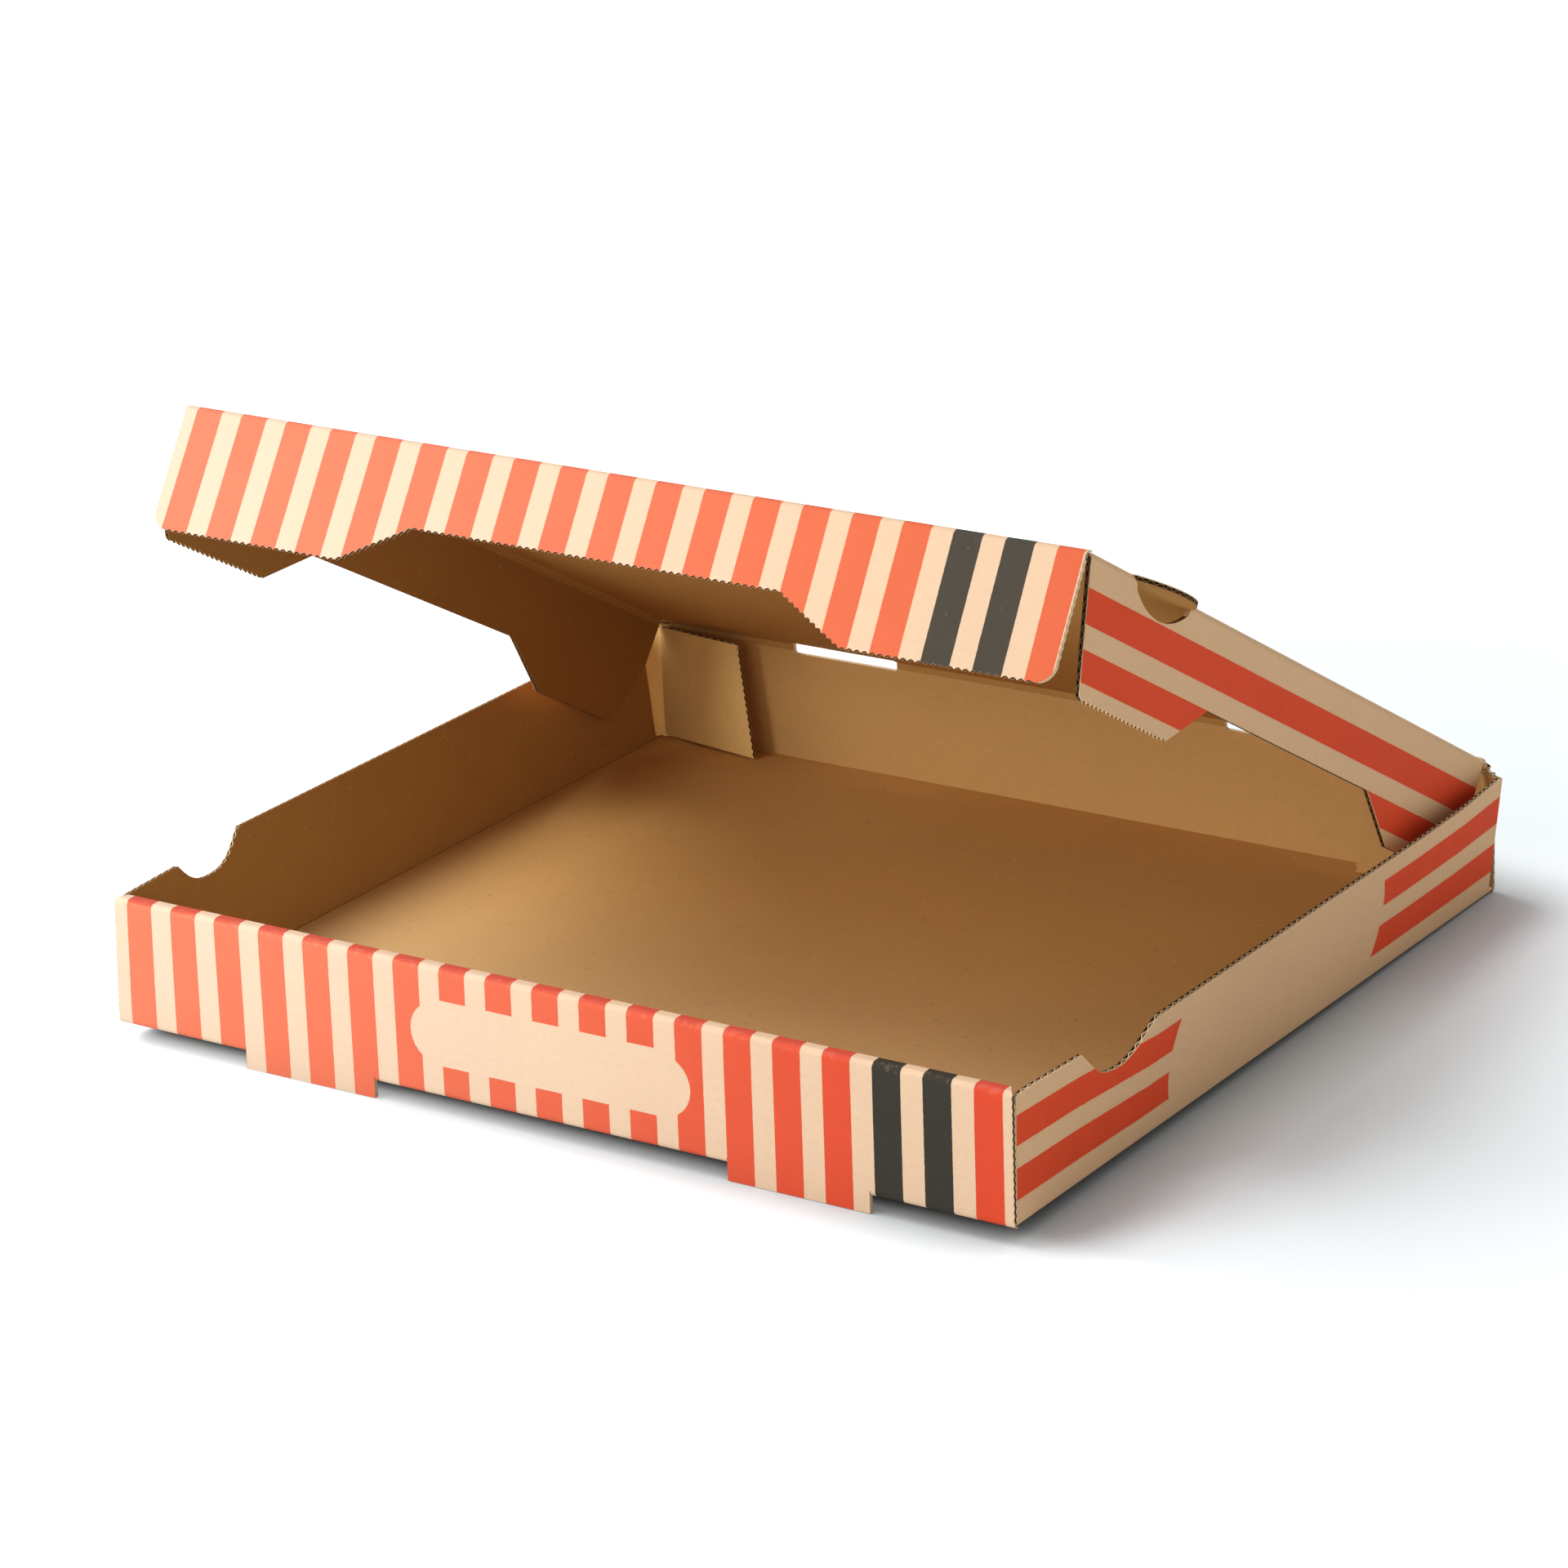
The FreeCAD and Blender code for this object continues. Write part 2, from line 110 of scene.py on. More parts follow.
FLOOR_GLOW = 0.15
FAR_GLOW = 0.45
# Painted light on the floor just in front of the box and beyond its left end: its strength and where it
# starts.
FRONT_PAINTED_LIGHT = 0.52
FRONT_PAINTED_LIGHT_EDGE = (0.141, 0.153)
LEFT_PAINTED_LIGHT_EDGE = (0.160, 0.166)
FLOOR_COLOR = (0.80, 0.862, 0.908)
# Painted contact shade on the floor: how far it reaches and how dark it gets.
CONTACT_SHADE_REACH = 0.035
CONTACT_SHADE_DEPTH = 1.05
WORLD_LIGHT = 0.28

# SIDE_CREAM and SIDE_RED are the darker, more saturated shaded copy of the board's outside colours, for the
# side walls in shade; the front's creams and reds further down are the lit copy.
SIDE_CREAM = (0.690, 0.440, 0.245)
INSIDE = (0.470, 0.250, 0.074)
# Lit and shaded copies of the inside kraft: the side walls' and side flaps' inner faces are darker, as
# painted shade; the floor, the back wall and the rear tabs are brighter, as painted light.
WALL_INSIDE_SHADED = (0.430, 0.222, 0.062)
FLAP_INSIDE_SHADED = (0.370, 0.180, 0.046)
FLOOR_INSIDE_LIT = (0.600, 0.330, 0.110)
# Painted light: the floor's inner face is lighter at the box's front, where light comes in under the lid.
FLOOR_FRONT_LIT = (0.810, 0.535, 0.265)
BACK_INSIDE_LIT = (0.610, 0.355, 0.130)
TAB_INSIDE_LIT = (0.930, 0.630, 0.240)
TORN_DARK = (0.080, 0.035, 0.012)
TORN_LIGHT = (0.280, 0.150, 0.060)
SIDE_RED = (0.690, 0.066, 0.020)
INK_DARK = (0.032, 0.028, 0.021)
# Painted shade: the board's hollows are near-black, for the shade inside open flutes.
CORE_PAINTED_SHADE = (0.030, 0.013, 0.005)
CUT_EDGE = (0.700, 0.490, 0.290)
# Painted shade: the inner liner's rim and the medium at open flutes are dark brown, for the shade inside
# them.
FLUTE_EDGE_PAINTED_SHADE = (0.170, 0.085, 0.034)


def new_material(name):
    """An empty material with its output and a paper-like shader."""
    material = bpy.data.materials.new(name)
    material.use_nodes = True
    nodes = material.node_tree.nodes
    nodes.clear()
    output = nodes.new("ShaderNodeOutputMaterial")
    shader = nodes.new("ShaderNodeBsdfPrincipled")
    shader.inputs["Specular IOR Level"].default_value = 0.16
    material.node_tree.links.new(shader.outputs["BSDF"], output.inputs["Surface"])
    return material, shader


def put(tree, kind, settings=None, **inputs):
    """Adds a node, sets its properties and feeds its inputs by their names."""
    node = tree.nodes.new(kind)
    for key, setting in (settings or {}).items():
        setattr(node, key, setting)
    for key, value in inputs.items():
        feed(tree, node.inputs[key.replace("_", " ")], value)
    return node


def add_object(name, data):
    """A new object in the scene."""
    made = bpy.data.objects.new(name, data)
    bpy.context.scene.collection.objects.link(made)
    return made


def feed(tree, socket, value):
    """Links an output to a socket, or sets the socket's own value."""
    if isinstance(value, bpy.types.NodeSocket):
        tree.links.new(value, socket)
    else:
        socket.default_value = value


def calc(tree, operation, *values):
    """The output of one Math node."""
    node = tree.nodes.new("ShaderNodeMath")
    node.operation = operation
    for socket, value in zip(node.inputs, values):
        feed(tree, socket, value)
    return node.outputs[0]


def times(tree, first, second):
    """The product of two values."""
    return calc(tree, "MULTIPLY", first, second)


def plus(tree, first, second):
    """The sum of two values."""
    return calc(tree, "ADD", first, second)


def minus(tree, first, second):
    """The first value less the second."""
    return calc(tree, "SUBTRACT", first, second)


def ramp_up(tree, value, low, high):
    """A smooth step from 0 at low to 1 at high."""
    settings = {"interpolation_type": "SMOOTHSTEP"}
    node = put(tree, "ShaderNodeMapRange", settings, Value=value)
    feed(tree, node.inputs["From Min"], low)
    feed(tree, node.inputs["From Max"], high)
    return node.outputs["Result"]


def mix_colors(tree, share, first, second, blend="MIX"):
    """A colour between two others, or the first one changed by the second."""
    node = tree.nodes.new("ShaderNodeMix")
    node.data_type = "RGBA"
    node.blend_type = blend
    feed(tree, node.inputs[0], share)
    feed(tree, node.inputs[6], first)
    feed(tree, node.inputs[7], second)
    return node.outputs[2]


def scaled(tree, vector, factor):
    """A vector or colour multiplied by a value."""
    node = put(tree, "ShaderNodeVectorMath", {"operation": "SCALE"}, Vector=vector, Scale=factor)
    return node.outputs["Vector"]


def own_place(tree):
    """The object's own coordinates, in metres."""
    return tree.nodes.new("ShaderNodeTexCoord").outputs["Object"]


def axes_of(tree, vector):
    """A vector's three parts, by their letters."""
    return put(tree, "ShaderNodeSeparateXYZ", None, Vector=vector).outputs


def opaque(color):
    """A colour with its alpha."""
    return (color[0], color[1], color[2], 1.0)


def new_group(name, inputs, outputs):
    """A shader node group with named sockets, and its input and output nodes."""
    group = bpy.data.node_groups.new(name, "ShaderNodeTree")
    for label, kind, default in inputs:
        socket = group.interface.new_socket(name=label, in_out="INPUT", socket_type=kind)
        if default is not None:
            socket.default_value = default
    for label, kind in outputs:
        group.interface.new_socket(name=label, in_out="OUTPUT", socket_type=kind)
    start = group.nodes.new("NodeGroupInput")
    end = group.nodes.new("NodeGroupOutput")
    return group, start, end


def stretched(tree, vector, scale):
    """Coordinates multiplied by three factors."""
    node = tree.nodes.new("ShaderNodeMapping")
    node.inputs["Scale"].default_value = scale
    feed(tree, node.inputs["Vector"], vector)
    return node.outputs["Vector"]


def noise_at(tree, vector, scale, detail=3.0, roughness=0.55):
    """A noise value between 0 and 1."""
    node = put(tree, "ShaderNodeTexNoise", None, Vector=vector, Scale=scale, Detail=detail,
               Roughness=roughness)
    return node.outputs["Fac"]


def make_paper_group():
    """Kraft paper: cloudy colour, stray fibres, light and dark flecks, and a fine tooth."""
    group, start, end = new_group(
        "kraft_paper",
        [("Color", "NodeSocketColor", (0.5, 0.3, 0.15, 1.0)),
         ("Cloudiness", "NodeSocketFloat", 0.1),
         ("Flecks", "NodeSocketFloat", 0.3),
         ("Flute Lines", "NodeSocketFloat", 0.1)],
        [("Color", "NodeSocketColor"), ("Roughness", "NodeSocketFloat"), ("Height", "NodeSocketFloat")])
    place = own_place(group)
    flat = put(group, "ShaderNodeUVMap", {"uv_map": "flat"}).outputs["UV"]
    base = start.outputs["Color"]
    cloud = noise_at(group, place, 22.0, 4.0)
    grain = noise_at(group, place, 420.0, 3.0)
    fibres = noise_at(group, stretched(group, flat, (90.0, 900.0, 1.0)), 1.0, 2.0)
    cloud_shift = minus(group, cloud, 0.5)
    grain_shift = minus(group, grain, 0.5)
    fibre_shift = minus(group, fibres, 0.5)
    shift = times(group, cloud_shift, start.outputs["Cloudiness"])
    shift = calc(group, "MULTIPLY_ADD", grain_shift, 0.11, shift)
    shift = calc(group, "MULTIPLY_ADD", fibre_shift, 0.10, shift)
    brightness = plus(group, shift, 1.0)
    flute_place = axes_of(group, flat)["Y"]
    flute_angle = times(group, flute_place, 2.0 * math.pi * 100.0 / FLUTE_PITCH)
    flute_wave = calc(group, "SINE", flute_angle)
    flute_tint = times(group, flute_wave, times(group, start.outputs["Flute Lines"], 0.05))
    brightness = plus(group, brightness, flute_tint)
    tinted = scaled(group, base, brightness)
    fleck_cells = put(group, "ShaderNodeTexVoronoi", None, Scale=1.0,
                      Vector=stretched(group, flat, (22.0, 60.0, 1.0)))
    fleck_pick = noise_at(group, place, 260.0, 1.0)
    fleck_core = minus(group, 1.0, ramp_up(group, fleck_cells.outputs["Distance"], 0.09, 0.17))
    dark_fleck = times(group, fleck_core, ramp_up(group, fleck_pick, 0.56, 0.62))
    light_pick = ramp_up(group, minus(group, 1.0, fleck_pick), 0.56, 0.62)
    light_fleck = times(group, fleck_core, light_pick)
    dark_share = times(group, dark_fleck, start.outputs["Flecks"])
    light_share = times(group, light_fleck, start.outputs["Flecks"])
    darkened = mix_colors(group, dark_share, tinted, (0.14, 0.07, 0.03, 1.0))
    flecked = mix_colors(group, light_share, darkened, (0.78, 0.62, 0.42, 1.0))
    group.links.new(flecked, end.inputs["Color"])
    rough = calc(group, "MULTIPLY_ADD", grain_shift, 0.25, 0.78)
    group.links.new(rough, end.inputs["Roughness"])
    height = calc(group, "MULTIPLY_ADD", fibre_shift, 0.6, grain_shift)
    height = calc(group, "MULTIPLY_ADD", flute_wave, start.outputs["Flute Lines"], height)
    group.links.new(height, end.inputs["Height"])
    return group


def make_ink_group():
    """Printing ink on paper: a wandering edge, thin spots, and cracks along a crease."""
    group, start, end = new_group(
        "printing_ink",
        [("Paper", "NodeSocketColor", (0.5, 0.3, 0.15, 1.0)),
         ("Ink", "NodeSocketColor", (0.7, 0.1, 0.05, 1.0)),
         ("Mask", "NodeSocketFloat", 0.0),
         ("Crease", "NodeSocketFloat", 0.0)],
        [("Color", "NodeSocketColor")])
    place = own_place(group)
    cloud = noise_at(group, place, 60.0, 4.0)
    pinholes = noise_at(group, place, 900.0, 2.0)
    thin = times(group, ramp_up(group, pinholes, 0.68, 0.78), 0.12)
    streaks = noise_at(group, stretched(group, place, (420.0, 420.0, 420.0)), 1.0, 3.0)
    cracks = times(group, ramp_up(group, streaks, 0.50, 0.62), start.outputs["Crease"])
    lost = plus(group, thin, cracks)
    cover = times(group, start.outputs["Mask"], minus(group, 1.0, lost))
    strength = calc(group, "MULTIPLY_ADD", minus(group, cloud, 0.5), 0.16, 1.0)
    ink = scaled(group, start.outputs["Ink"], strength)
    color = mix_colors(group, cover, start.outputs["Paper"], ink)
    group.links.new(color, end.inputs["Color"])
    return group


def make_stripe_group():
    """Upright stripes counted from the left end, and which of them are dark."""
    group, start, end = new_group(
        "upright_stripes",
        [("Place", "NodeSocketFloat", 0.0)],
        [("Red", "NodeSocketFloat"), ("Dark", "NodeSocketFloat")])
    from_first = minus(group, start.outputs["Place"], STRIPE_START)
    count = calc(group, "FLOOR", calc(group, "DIVIDE", from_first, STRIPE_PITCH))
    along = minus(group, from_first, times(group, count, STRIPE_PITCH))
    left_edge = ramp_up(group, along, 0.0, 0.15)
    right_edge = ramp_up(group, along, STRIPE_WIDTH - 0.15, STRIPE_WIDTH)
    inside = minus(group, left_edge, right_edge)
    inside = times(group, inside, calc(group, "GREATER_THAN", count, -0.5))
    inside = times(group, inside, calc(group, "LESS_THAN", count, LAST_DARK_STRIPE + 1.5))
    dark = calc(group, "GREATER_THAN", count, FIRST_DARK_STRIPE - 0.5)
    dark = times(group, dark, calc(group, "LESS_THAN", count, LAST_DARK_STRIPE + 0.5))
    group.links.new(times(group, inside, minus(group, 1.0, dark)), end.inputs["Red"])
    group.links.new(times(group, inside, dark), end.inputs["Dark"])
    return group


def make_wander_group():
    """Flat coordinates in millimetres, shaken a little so that printed edges aren't ruled."""
    group, start, end = new_group(
        "print_place", [("Shake", "NodeSocketFloat", 0.12)],
        [("Along", "NodeSocketFloat"), ("Across", "NodeSocketFloat")])
    place = own_place(group)
    flat = put(group, "ShaderNodeUVMap", {"uv_map": "flat"}).outputs["UV"]
    axes = axes_of(group, flat)
    shake = minus(group, noise_at(group, place, 700.0, 2.0), 0.5)
    shake = times(group, shake, times(group, start.outputs["Shake"], 2.0))
    for label, axis in (("Along", "X"), ("Across", "Y")):
        length = times(group, axes[axis], 100.0)
        group.links.new(plus(group, length, shake), end.inputs[label])
    return group


paper_group = make_paper_group()
ink_group = make_ink_group()
stripe_group = make_stripe_group()
wander_group = make_wander_group()


def use_group(tree, group, **inputs):
    """Places a node group and feeds its inputs by their names."""
    node = tree.nodes.new("ShaderNodeGroup")
    node.node_tree = group
    for key, value in inputs.items():
        feed(tree, node.inputs[key.replace("_", " ")], value)
    return node


def finish_paper(tree, shader, paper, color, bump=0.06):
    """Feeds a paper's colour, roughness and tooth to its shader."""
    tree.links.new(color, shader.inputs["Base Color"])
    tree.links.new(paper.outputs["Roughness"], shader.inputs["Roughness"])
    tooth = put(tree, "ShaderNodeBump", None, Height=paper.outputs["Height"], Strength=bump, Distance=0.0004)
    tree.links.new(tooth.outputs["Normal"], shader.inputs["Normal"])


def front_lit_paper(name, front, rear):
    """Kraft whose colour changes from the box's front to its middle: painted light, lighter at the front
    where light comes in under the lid.
    """
    material, shader = new_material(name)
    tree = material.node_tree
    place = own_place(tree)
    axes = axes_of(tree, place)
    share = ramp_up(tree, axes["Y"], FRONT * MM, 0.06)
    color = mix_colors(tree, share, opaque(front), opaque(rear))
    paper = use_group(tree, paper_group, Color=color, Cloudiness=0.12, Flecks=0.6, Flute_Lines=0.04)
    finish_paper(tree, shader, paper, paper.outputs["Color"])
    return material


def within(tree, value, low, high, soft=0.15):
    """1 between low and high and 0 outside, with soft edges."""
    rise = ramp_up(tree, value, low - soft / 2, low + soft / 2)
    fall = ramp_up(tree, value, high - soft / 2, high + soft / 2)
    return minus(tree, rise, fall)


def plain_paper(name, color, cloudiness, flecks, flute_lines, crease=None):
    """Bare kraft, with a dark line of painted shade across it between two places where a fold's inner corner
    is given.
    """
    material, shader = new_material(name)
    tree = material.node_tree
    paper = use_group(tree, paper_group, Color=opaque(color), Cloudiness=cloudiness, Flecks=flecks,
                      Flute_Lines=flute_lines)
    shade = paper.outputs["Color"]
    if crease is not None:
        place = use_group(tree, wander_group, Shake=0.2)
        # Painted shade in the inner corner of the fold.
        line = times(tree, within(tree, place.outputs["Across"], *crease, 0.5), 0.55)
        shade = mix_colors(tree, line, shade, (0.09, 0.035, 0.010, 1.0))
    finish_paper(tree, shader, paper, shade)
    return material


def torn_to_fibres(tree, color, out_from, up_from):
    """The colour torn down to brown fibres beyond a distance from the middle and a height."""
    place = own_place(tree)
    axes = axes_of(tree, place)
    ragged = times(tree, minus(tree, noise_at(tree, place, 500.0, 3.0), 0.5), 0.006)
    out = plus(tree, calc(tree, "ABSOLUTE", axes["X"]), ragged)
    torn = ramp_up(tree, out, out_from, out_from + 0.0015)
    height = plus(tree, axes["Z"], ragged)
    torn = times(tree, torn, ramp_up(tree, height, up_from, up_from + 0.002))
    fibres = noise_at(tree, stretched(tree, place, (300.0, 1500.0, 1500.0)), 1.0, 3.0)
    brown = mix_colors(tree, ramp_up(tree, fibres, 0.35, 0.65), opaque(TORN_DARK), opaque(TORN_LIGHT))
    return mix_colors(tree, torn, color, brown)


def torn_paper(name, color, out_from, up_from):
    """Kraft with torn ends."""
    material, shader = new_material(name)
    tree = material.node_tree
    paper = use_group(tree, paper_group, Color=opaque(color), Cloudiness=0.1, Flecks=0.2, Flute_Lines=0.1)
    finish_paper(tree, shader, paper, torn_to_fibres(tree, paper.outputs["Color"], out_from, up_from), 0.2)
    return material


def painted_shading_paper(name, color, flecks, stops):
    """Kraft whose brightness follows places along its sheet, as painted light and shade: (place in mm,
    factor) pairs.
    """
    material, shader = new_material(name)
    tree = material.node_tree
    paper = use_group(tree, paper_group, Color=opaque(color), Cloudiness=0.12, Flecks=flecks,
                      Flute_Lines=0.04)
    place = use_group(tree, wander_group, Shake=0.3)
    value = stops[0][1]
    for (low, first), (high, second) in zip(stops, stops[1:]):
        share = ramp_up(tree, place.outputs["Along"], low, high)
        value = calc(tree, "MULTIPLY_ADD", share, second - first, value)
    finish_paper(tree, shader, paper, scaled(tree, paper.outputs["Color"], value))
    return material


def across_box(tree, left, right):
    """A colour that changes evenly from the box's left end to its right end; for the front's kraft and red
    ink this is painted light, brighter at the left end nearer the lamp.
    """
    place = own_place(tree)
    axes = axes_of(tree, place)
    share = ramp_up(tree, axes["X"], -HALF_WIDTH * MM, HALF_WIDTH * MM)
    return mix_colors(tree, share, opaque(left), opaque(right))


def printed_paper(name, draw_print, kraft, ink, dark_ink=INK_DARK, band=None, creased=None):
    """Pale kraft with a print: draw_print gives the red and the dark ink's masks. The kraft and ink pairs go
    from the box's left end to its right end, as painted light; from band up, the red darkens as painted
    shade.
    """
    material, shader = new_material(name)
    tree = material.node_tree
    # The kraft and the red ink run from the left end's colour to the right end's: painted light, brighter
    # nearer the lamp at the left.
    paper = use_group(tree, paper_group, Color=across_box(tree, *kraft), Cloudiness=0.07, Flecks=0.10,
                      Flute_Lines=0.10)
    place = use_group(tree, wander_group, Shake=0.12)
    red, dark = draw_print(tree, place.outputs["Along"], place.outputs["Across"])
    red_ink = across_box(tree, *ink)
    if band is not None:
        # Painted shade: the red ink darkens where the front wall rolls over into its top band.
        band_painted_shade = times(tree, ramp_up(tree, place.outputs["Across"], band, band + 0.8), 0.8)
        red_ink = mix_colors(tree, band_painted_shade, red_ink, opaque(BAND_SHADED_RED))
    crease = 0.0
    if creased is not None:
        crease = times(tree, within(tree, place.outputs["Across"], *creased, 0.8), 0.07)
    reddened = use_group(tree, ink_group, Paper=paper.outputs["Color"], Ink=red_ink, Mask=red, Crease=crease)
    color = reddened.outputs["Color"]
    if dark is not None:
        darkened = use_group(tree, ink_group, Paper=color, Ink=opaque(dark_ink), Mask=dark, Crease=crease)
        color = darkened.outputs["Color"]
    finish_paper(tree, shader, paper, color)
    return material


PLAQUE_LOW = 10.5
PLAQUE_HIGH = 32.3
PLAQUE_LEFT = 119.5
PLAQUE_RIGHT = 212.7
PLAQUE_LOBE = 10.1
PLAQUE_LOBE_X = (125.0, 208.0)
PLAQUE_LOBE_Z = 21.0
BAND_PRINT_END = 48.0
CREASE_BARE = 1.2
FLAP_PRINT_SHIFT = 1.5
FLAP_PRINT_END = 162.5


def disc(tree, along, across, middle, height, radius):
    """1 inside a round field and 0 outside."""
    x = minus(tree, along, middle)
    y = minus(tree, across, height)
    distance = calc(tree, "SQRT", plus(tree, times(tree, x, x), times(tree, y, y)))
    return minus(tree, 1.0, ramp_up(tree, distance, radius - 0.1, radius + 0.1))


def front_wall_print(tree, along, across):
    """Stripes with a bare plaque whose ends are round."""
    from_left = plus(tree, along, HALF_WIDTH)
    stripes = use_group(tree, stripe_group, Place=from_left)
    plaque = times(tree, within(tree, from_left, PLAQUE_LEFT, PLAQUE_RIGHT),
                   within(tree, across, PLAQUE_LOW, PLAQUE_HIGH))
    for middle in PLAQUE_LOBE_X:
        lobe = disc(tree, from_left, across, middle, PLAQUE_LOBE_Z, PLAQUE_LOBE)
        plaque = calc(tree, "MAXIMUM", plaque, lobe)
    shown = minus(tree, 1.0, plaque)
    shown = times(tree, shown, calc(tree, "LESS_THAN", across, BAND_PRINT_END))
    red = times(tree, stripes.outputs["Red"], shown)
    dark = times(tree, stripes.outputs["Dark"], shown)
    return red, dark


def front_flap_print(tree, along, across):
    """The same stripes with no plaque, a little to the right, up to a bare cut edge."""
    from_left = plus(tree, along, HALF_WIDTH - FLAP_PRINT_SHIFT)
    stripes = use_group(tree, stripe_group, Place=from_left)
    shown = calc(tree, "LESS_THAN", calc(tree, "MULTIPLY_ADD", across, 0.012, along), FLAP_PRINT_END)
    return times(tree, stripes.outputs["Red"], shown), stripes.outputs["Dark"]


def front_crease_print(tree, along, across):
    """The flap's stripes, which start where the crease turns down."""
    red, dark = front_flap_print(tree, along, across)
    shown = calc(tree, "GREATER_THAN", across, CREASE_BARE)
    return times(tree, red, shown), times(tree, dark, shown)


SIDE_BANDS = ((8.6, 18.7), (25.8, 35.5))
SIDE_PRINT_MIDDLE = 22.0
SIDE_FRONT_TIP = 85.6
SIDE_REAR_TIP = 221.2
SIDE_TIP_ROUND = 62.0
FLAP_BANDS = ((9.2, 19.3), (26.2, 35.4))


def side_wall_print(tree, along, across):
    """Two bands, left off along a bare middle whose ends bulge."""
    height = minus(tree, across, QUARTER - FOLD_ROUND)
    bands = plus(tree, within(tree, height, *SIDE_BANDS[0]), within(tree, height, *SIDE_BANDS[1]))
    off_middle = minus(tree, height, SIDE_PRINT_MIDDLE)
    bulge = calc(tree, "DIVIDE", times(tree, off_middle, off_middle), SIDE_TIP_ROUND)
    from_front = minus(tree, along, FRONT)
    front_end = plus(tree, bulge, SIDE_FRONT_TIP)
    rear_end = minus(tree, SIDE_REAR_TIP, bulge)
    ahead = calc(tree, "LESS_THAN", from_front, front_end)
    behind = calc(tree, "GREATER_THAN", from_front, rear_end)
    return times(tree, bands, plus(tree, ahead, behind)), None


def side_flap_print(tree, along, across):
    """Two bands along the whole flap."""
    bands = plus(tree, within(tree, across, *FLAP_BANDS[0]), within(tree, across, *FLAP_BANDS[1]))
    return bands, None


# Lit and shaded copies of one printed board: the front wall's and front flap's creams, reds and the flap's
# dark ink are paler and less saturated, as painted light; the side's are darker and more saturated, as
# painted shade. Each front pair also runs brighter towards the left end, as painted light.
FRONT_LIT_REDS = ((0.750, 0.178, 0.095), (0.630, 0.060, 0.022))
FLAP_LIT_REDS = ((0.735, 0.190, 0.106), (0.640, 0.122, 0.050))
SIDE_SHADED_REDS = (SIDE_RED, SIDE_RED)
# Painted shade on the red of the rolled top band, and the place where it starts.
BAND_SHADED_RED = (0.560, 0.070, 0.045)
BAND_SHADED_RED_START = 41.9
BAND_CREASE = (41.0, 44.4)
FRONT_LIT_CREAMS = ((0.740, 0.560, 0.410), (0.690, 0.480, 0.320))
FLAP_LIT_DARK = (0.054, 0.045, 0.034)
SIDE_SHADED_CREAMS = (SIDE_CREAM, SIDE_CREAM)
front_wall_paper = printed_paper("printed_front_wall", front_wall_print, FRONT_LIT_CREAMS, FRONT_LIT_REDS, INK_DARK,
                                 BAND_SHADED_RED_START, BAND_CREASE)
front_flap_paper = printed_paper("printed_front_flap", front_flap_print, FRONT_LIT_CREAMS, FLAP_LIT_REDS, FLAP_LIT_DARK)
front_crease_paper = printed_paper("printed_front_crease", front_crease_print, FRONT_LIT_CREAMS, FLAP_LIT_REDS,
                                   FLAP_LIT_DARK)
side_wall_paper = printed_paper("printed_side_wall", side_wall_print, SIDE_SHADED_CREAMS, SIDE_SHADED_REDS)
side_flap_paper = printed_paper("printed_side_flap", side_flap_print, SIDE_SHADED_CREAMS, SIDE_SHADED_REDS)
hinge_paper = torn_paper("torn_hinge", SIDE_CREAM, 0.1595, 0.0)
outside_paper = plain_paper("outside_kraft", SIDE_CREAM, 0.08, 0.18, 0.12)
inside_paper = plain_paper("inside_kraft", INSIDE, 0.16, 0.34, 0.10)
# The side walls' inner faces carry a line of painted shade where they fold up from the floor.
wall_paper = plain_paper("wall_kraft_painted_shade", WALL_INSIDE_SHADED, 0.16, 0.34, 0.08, (0.6, 2.9))
# The side walls' and side flaps' inner faces get the darker copy, as painted shade.
flap_paper = plain_paper("flap_kraft_painted_shade", FLAP_INSIDE_SHADED, 0.16, 0.34, 0.08)
floor_lit_paper = front_lit_paper("floor_kraft_painted_light", FLOOR_FRONT_LIT, FLOOR_INSIDE_LIT)
back_lit_paper = torn_paper("back_kraft_painted_light", BACK_INSIDE_LIT, 0.1565, 0.0405)
right_tab_paper = plain_paper("right_tab_kraft", BACK_INSIDE_LIT, 0.12, 0.34, 0.06)
# Painted light and shade on the left rear tab's inner face: bright over its rounded fold, darker just past
# it, and back to its colour along the flat part.
tab_paper = painted_shading_paper("tab_kraft", TAB_INSIDE_LIT, 0.3, ((0.0, 1.25), (6.9, 1.25), (7.3, 0.72), (24.0, 1.0)))
# The hollows and the cut flute edges carry painted shade.
core_shade_paper = plain_paper("board_hollows_painted_shade", CORE_PAINTED_SHADE, 0.25, 0.1, 0.0)
cut_paper = plain_paper("cut_board_edge", CUT_EDGE, 0.25, 0.1, 0.0)
flute_shade_paper = plain_paper("cut_flutes_painted_shade", FLUTE_EDGE_PAINTED_SHADE, 0.25, 0.1, 0.0)


def wavy(start, end, reach):
    """Points along a wave-cut side, from start up to but not including end."""
    start, end = np.array(start), np.array(end)
    length = float(np.linalg.norm(end - start))
    waves = max(1, round(length / WAVE_PITCH))
    steps = waves * 6
    across = np.array([-(end - start)[1], (end - start)[0]]) / length
    share = np.arange(steps) / steps
    lifts = reach * (np.abs(np.sin(share * waves * math.pi)) - 0.35)
    lifts[0] = 0.0
    return [tuple(start + (end - start) * part + across * lift) for part, lift in zip(share, lifts)]


def flat_outline(corners):
    """Every point of a sheet's outline with its kind of edge."""
    points = []
    for index, (along, across, kind) in enumerate(corners):
        following = corners[(index + 1) % len(corners)][:2]
        if kind in WAVE_REACHES:
            points += [(x, y, kind) for x, y in wavy((along, across), following, WAVE_REACHES[kind])]
        else:
            points.append((along, across, kind))
    return points


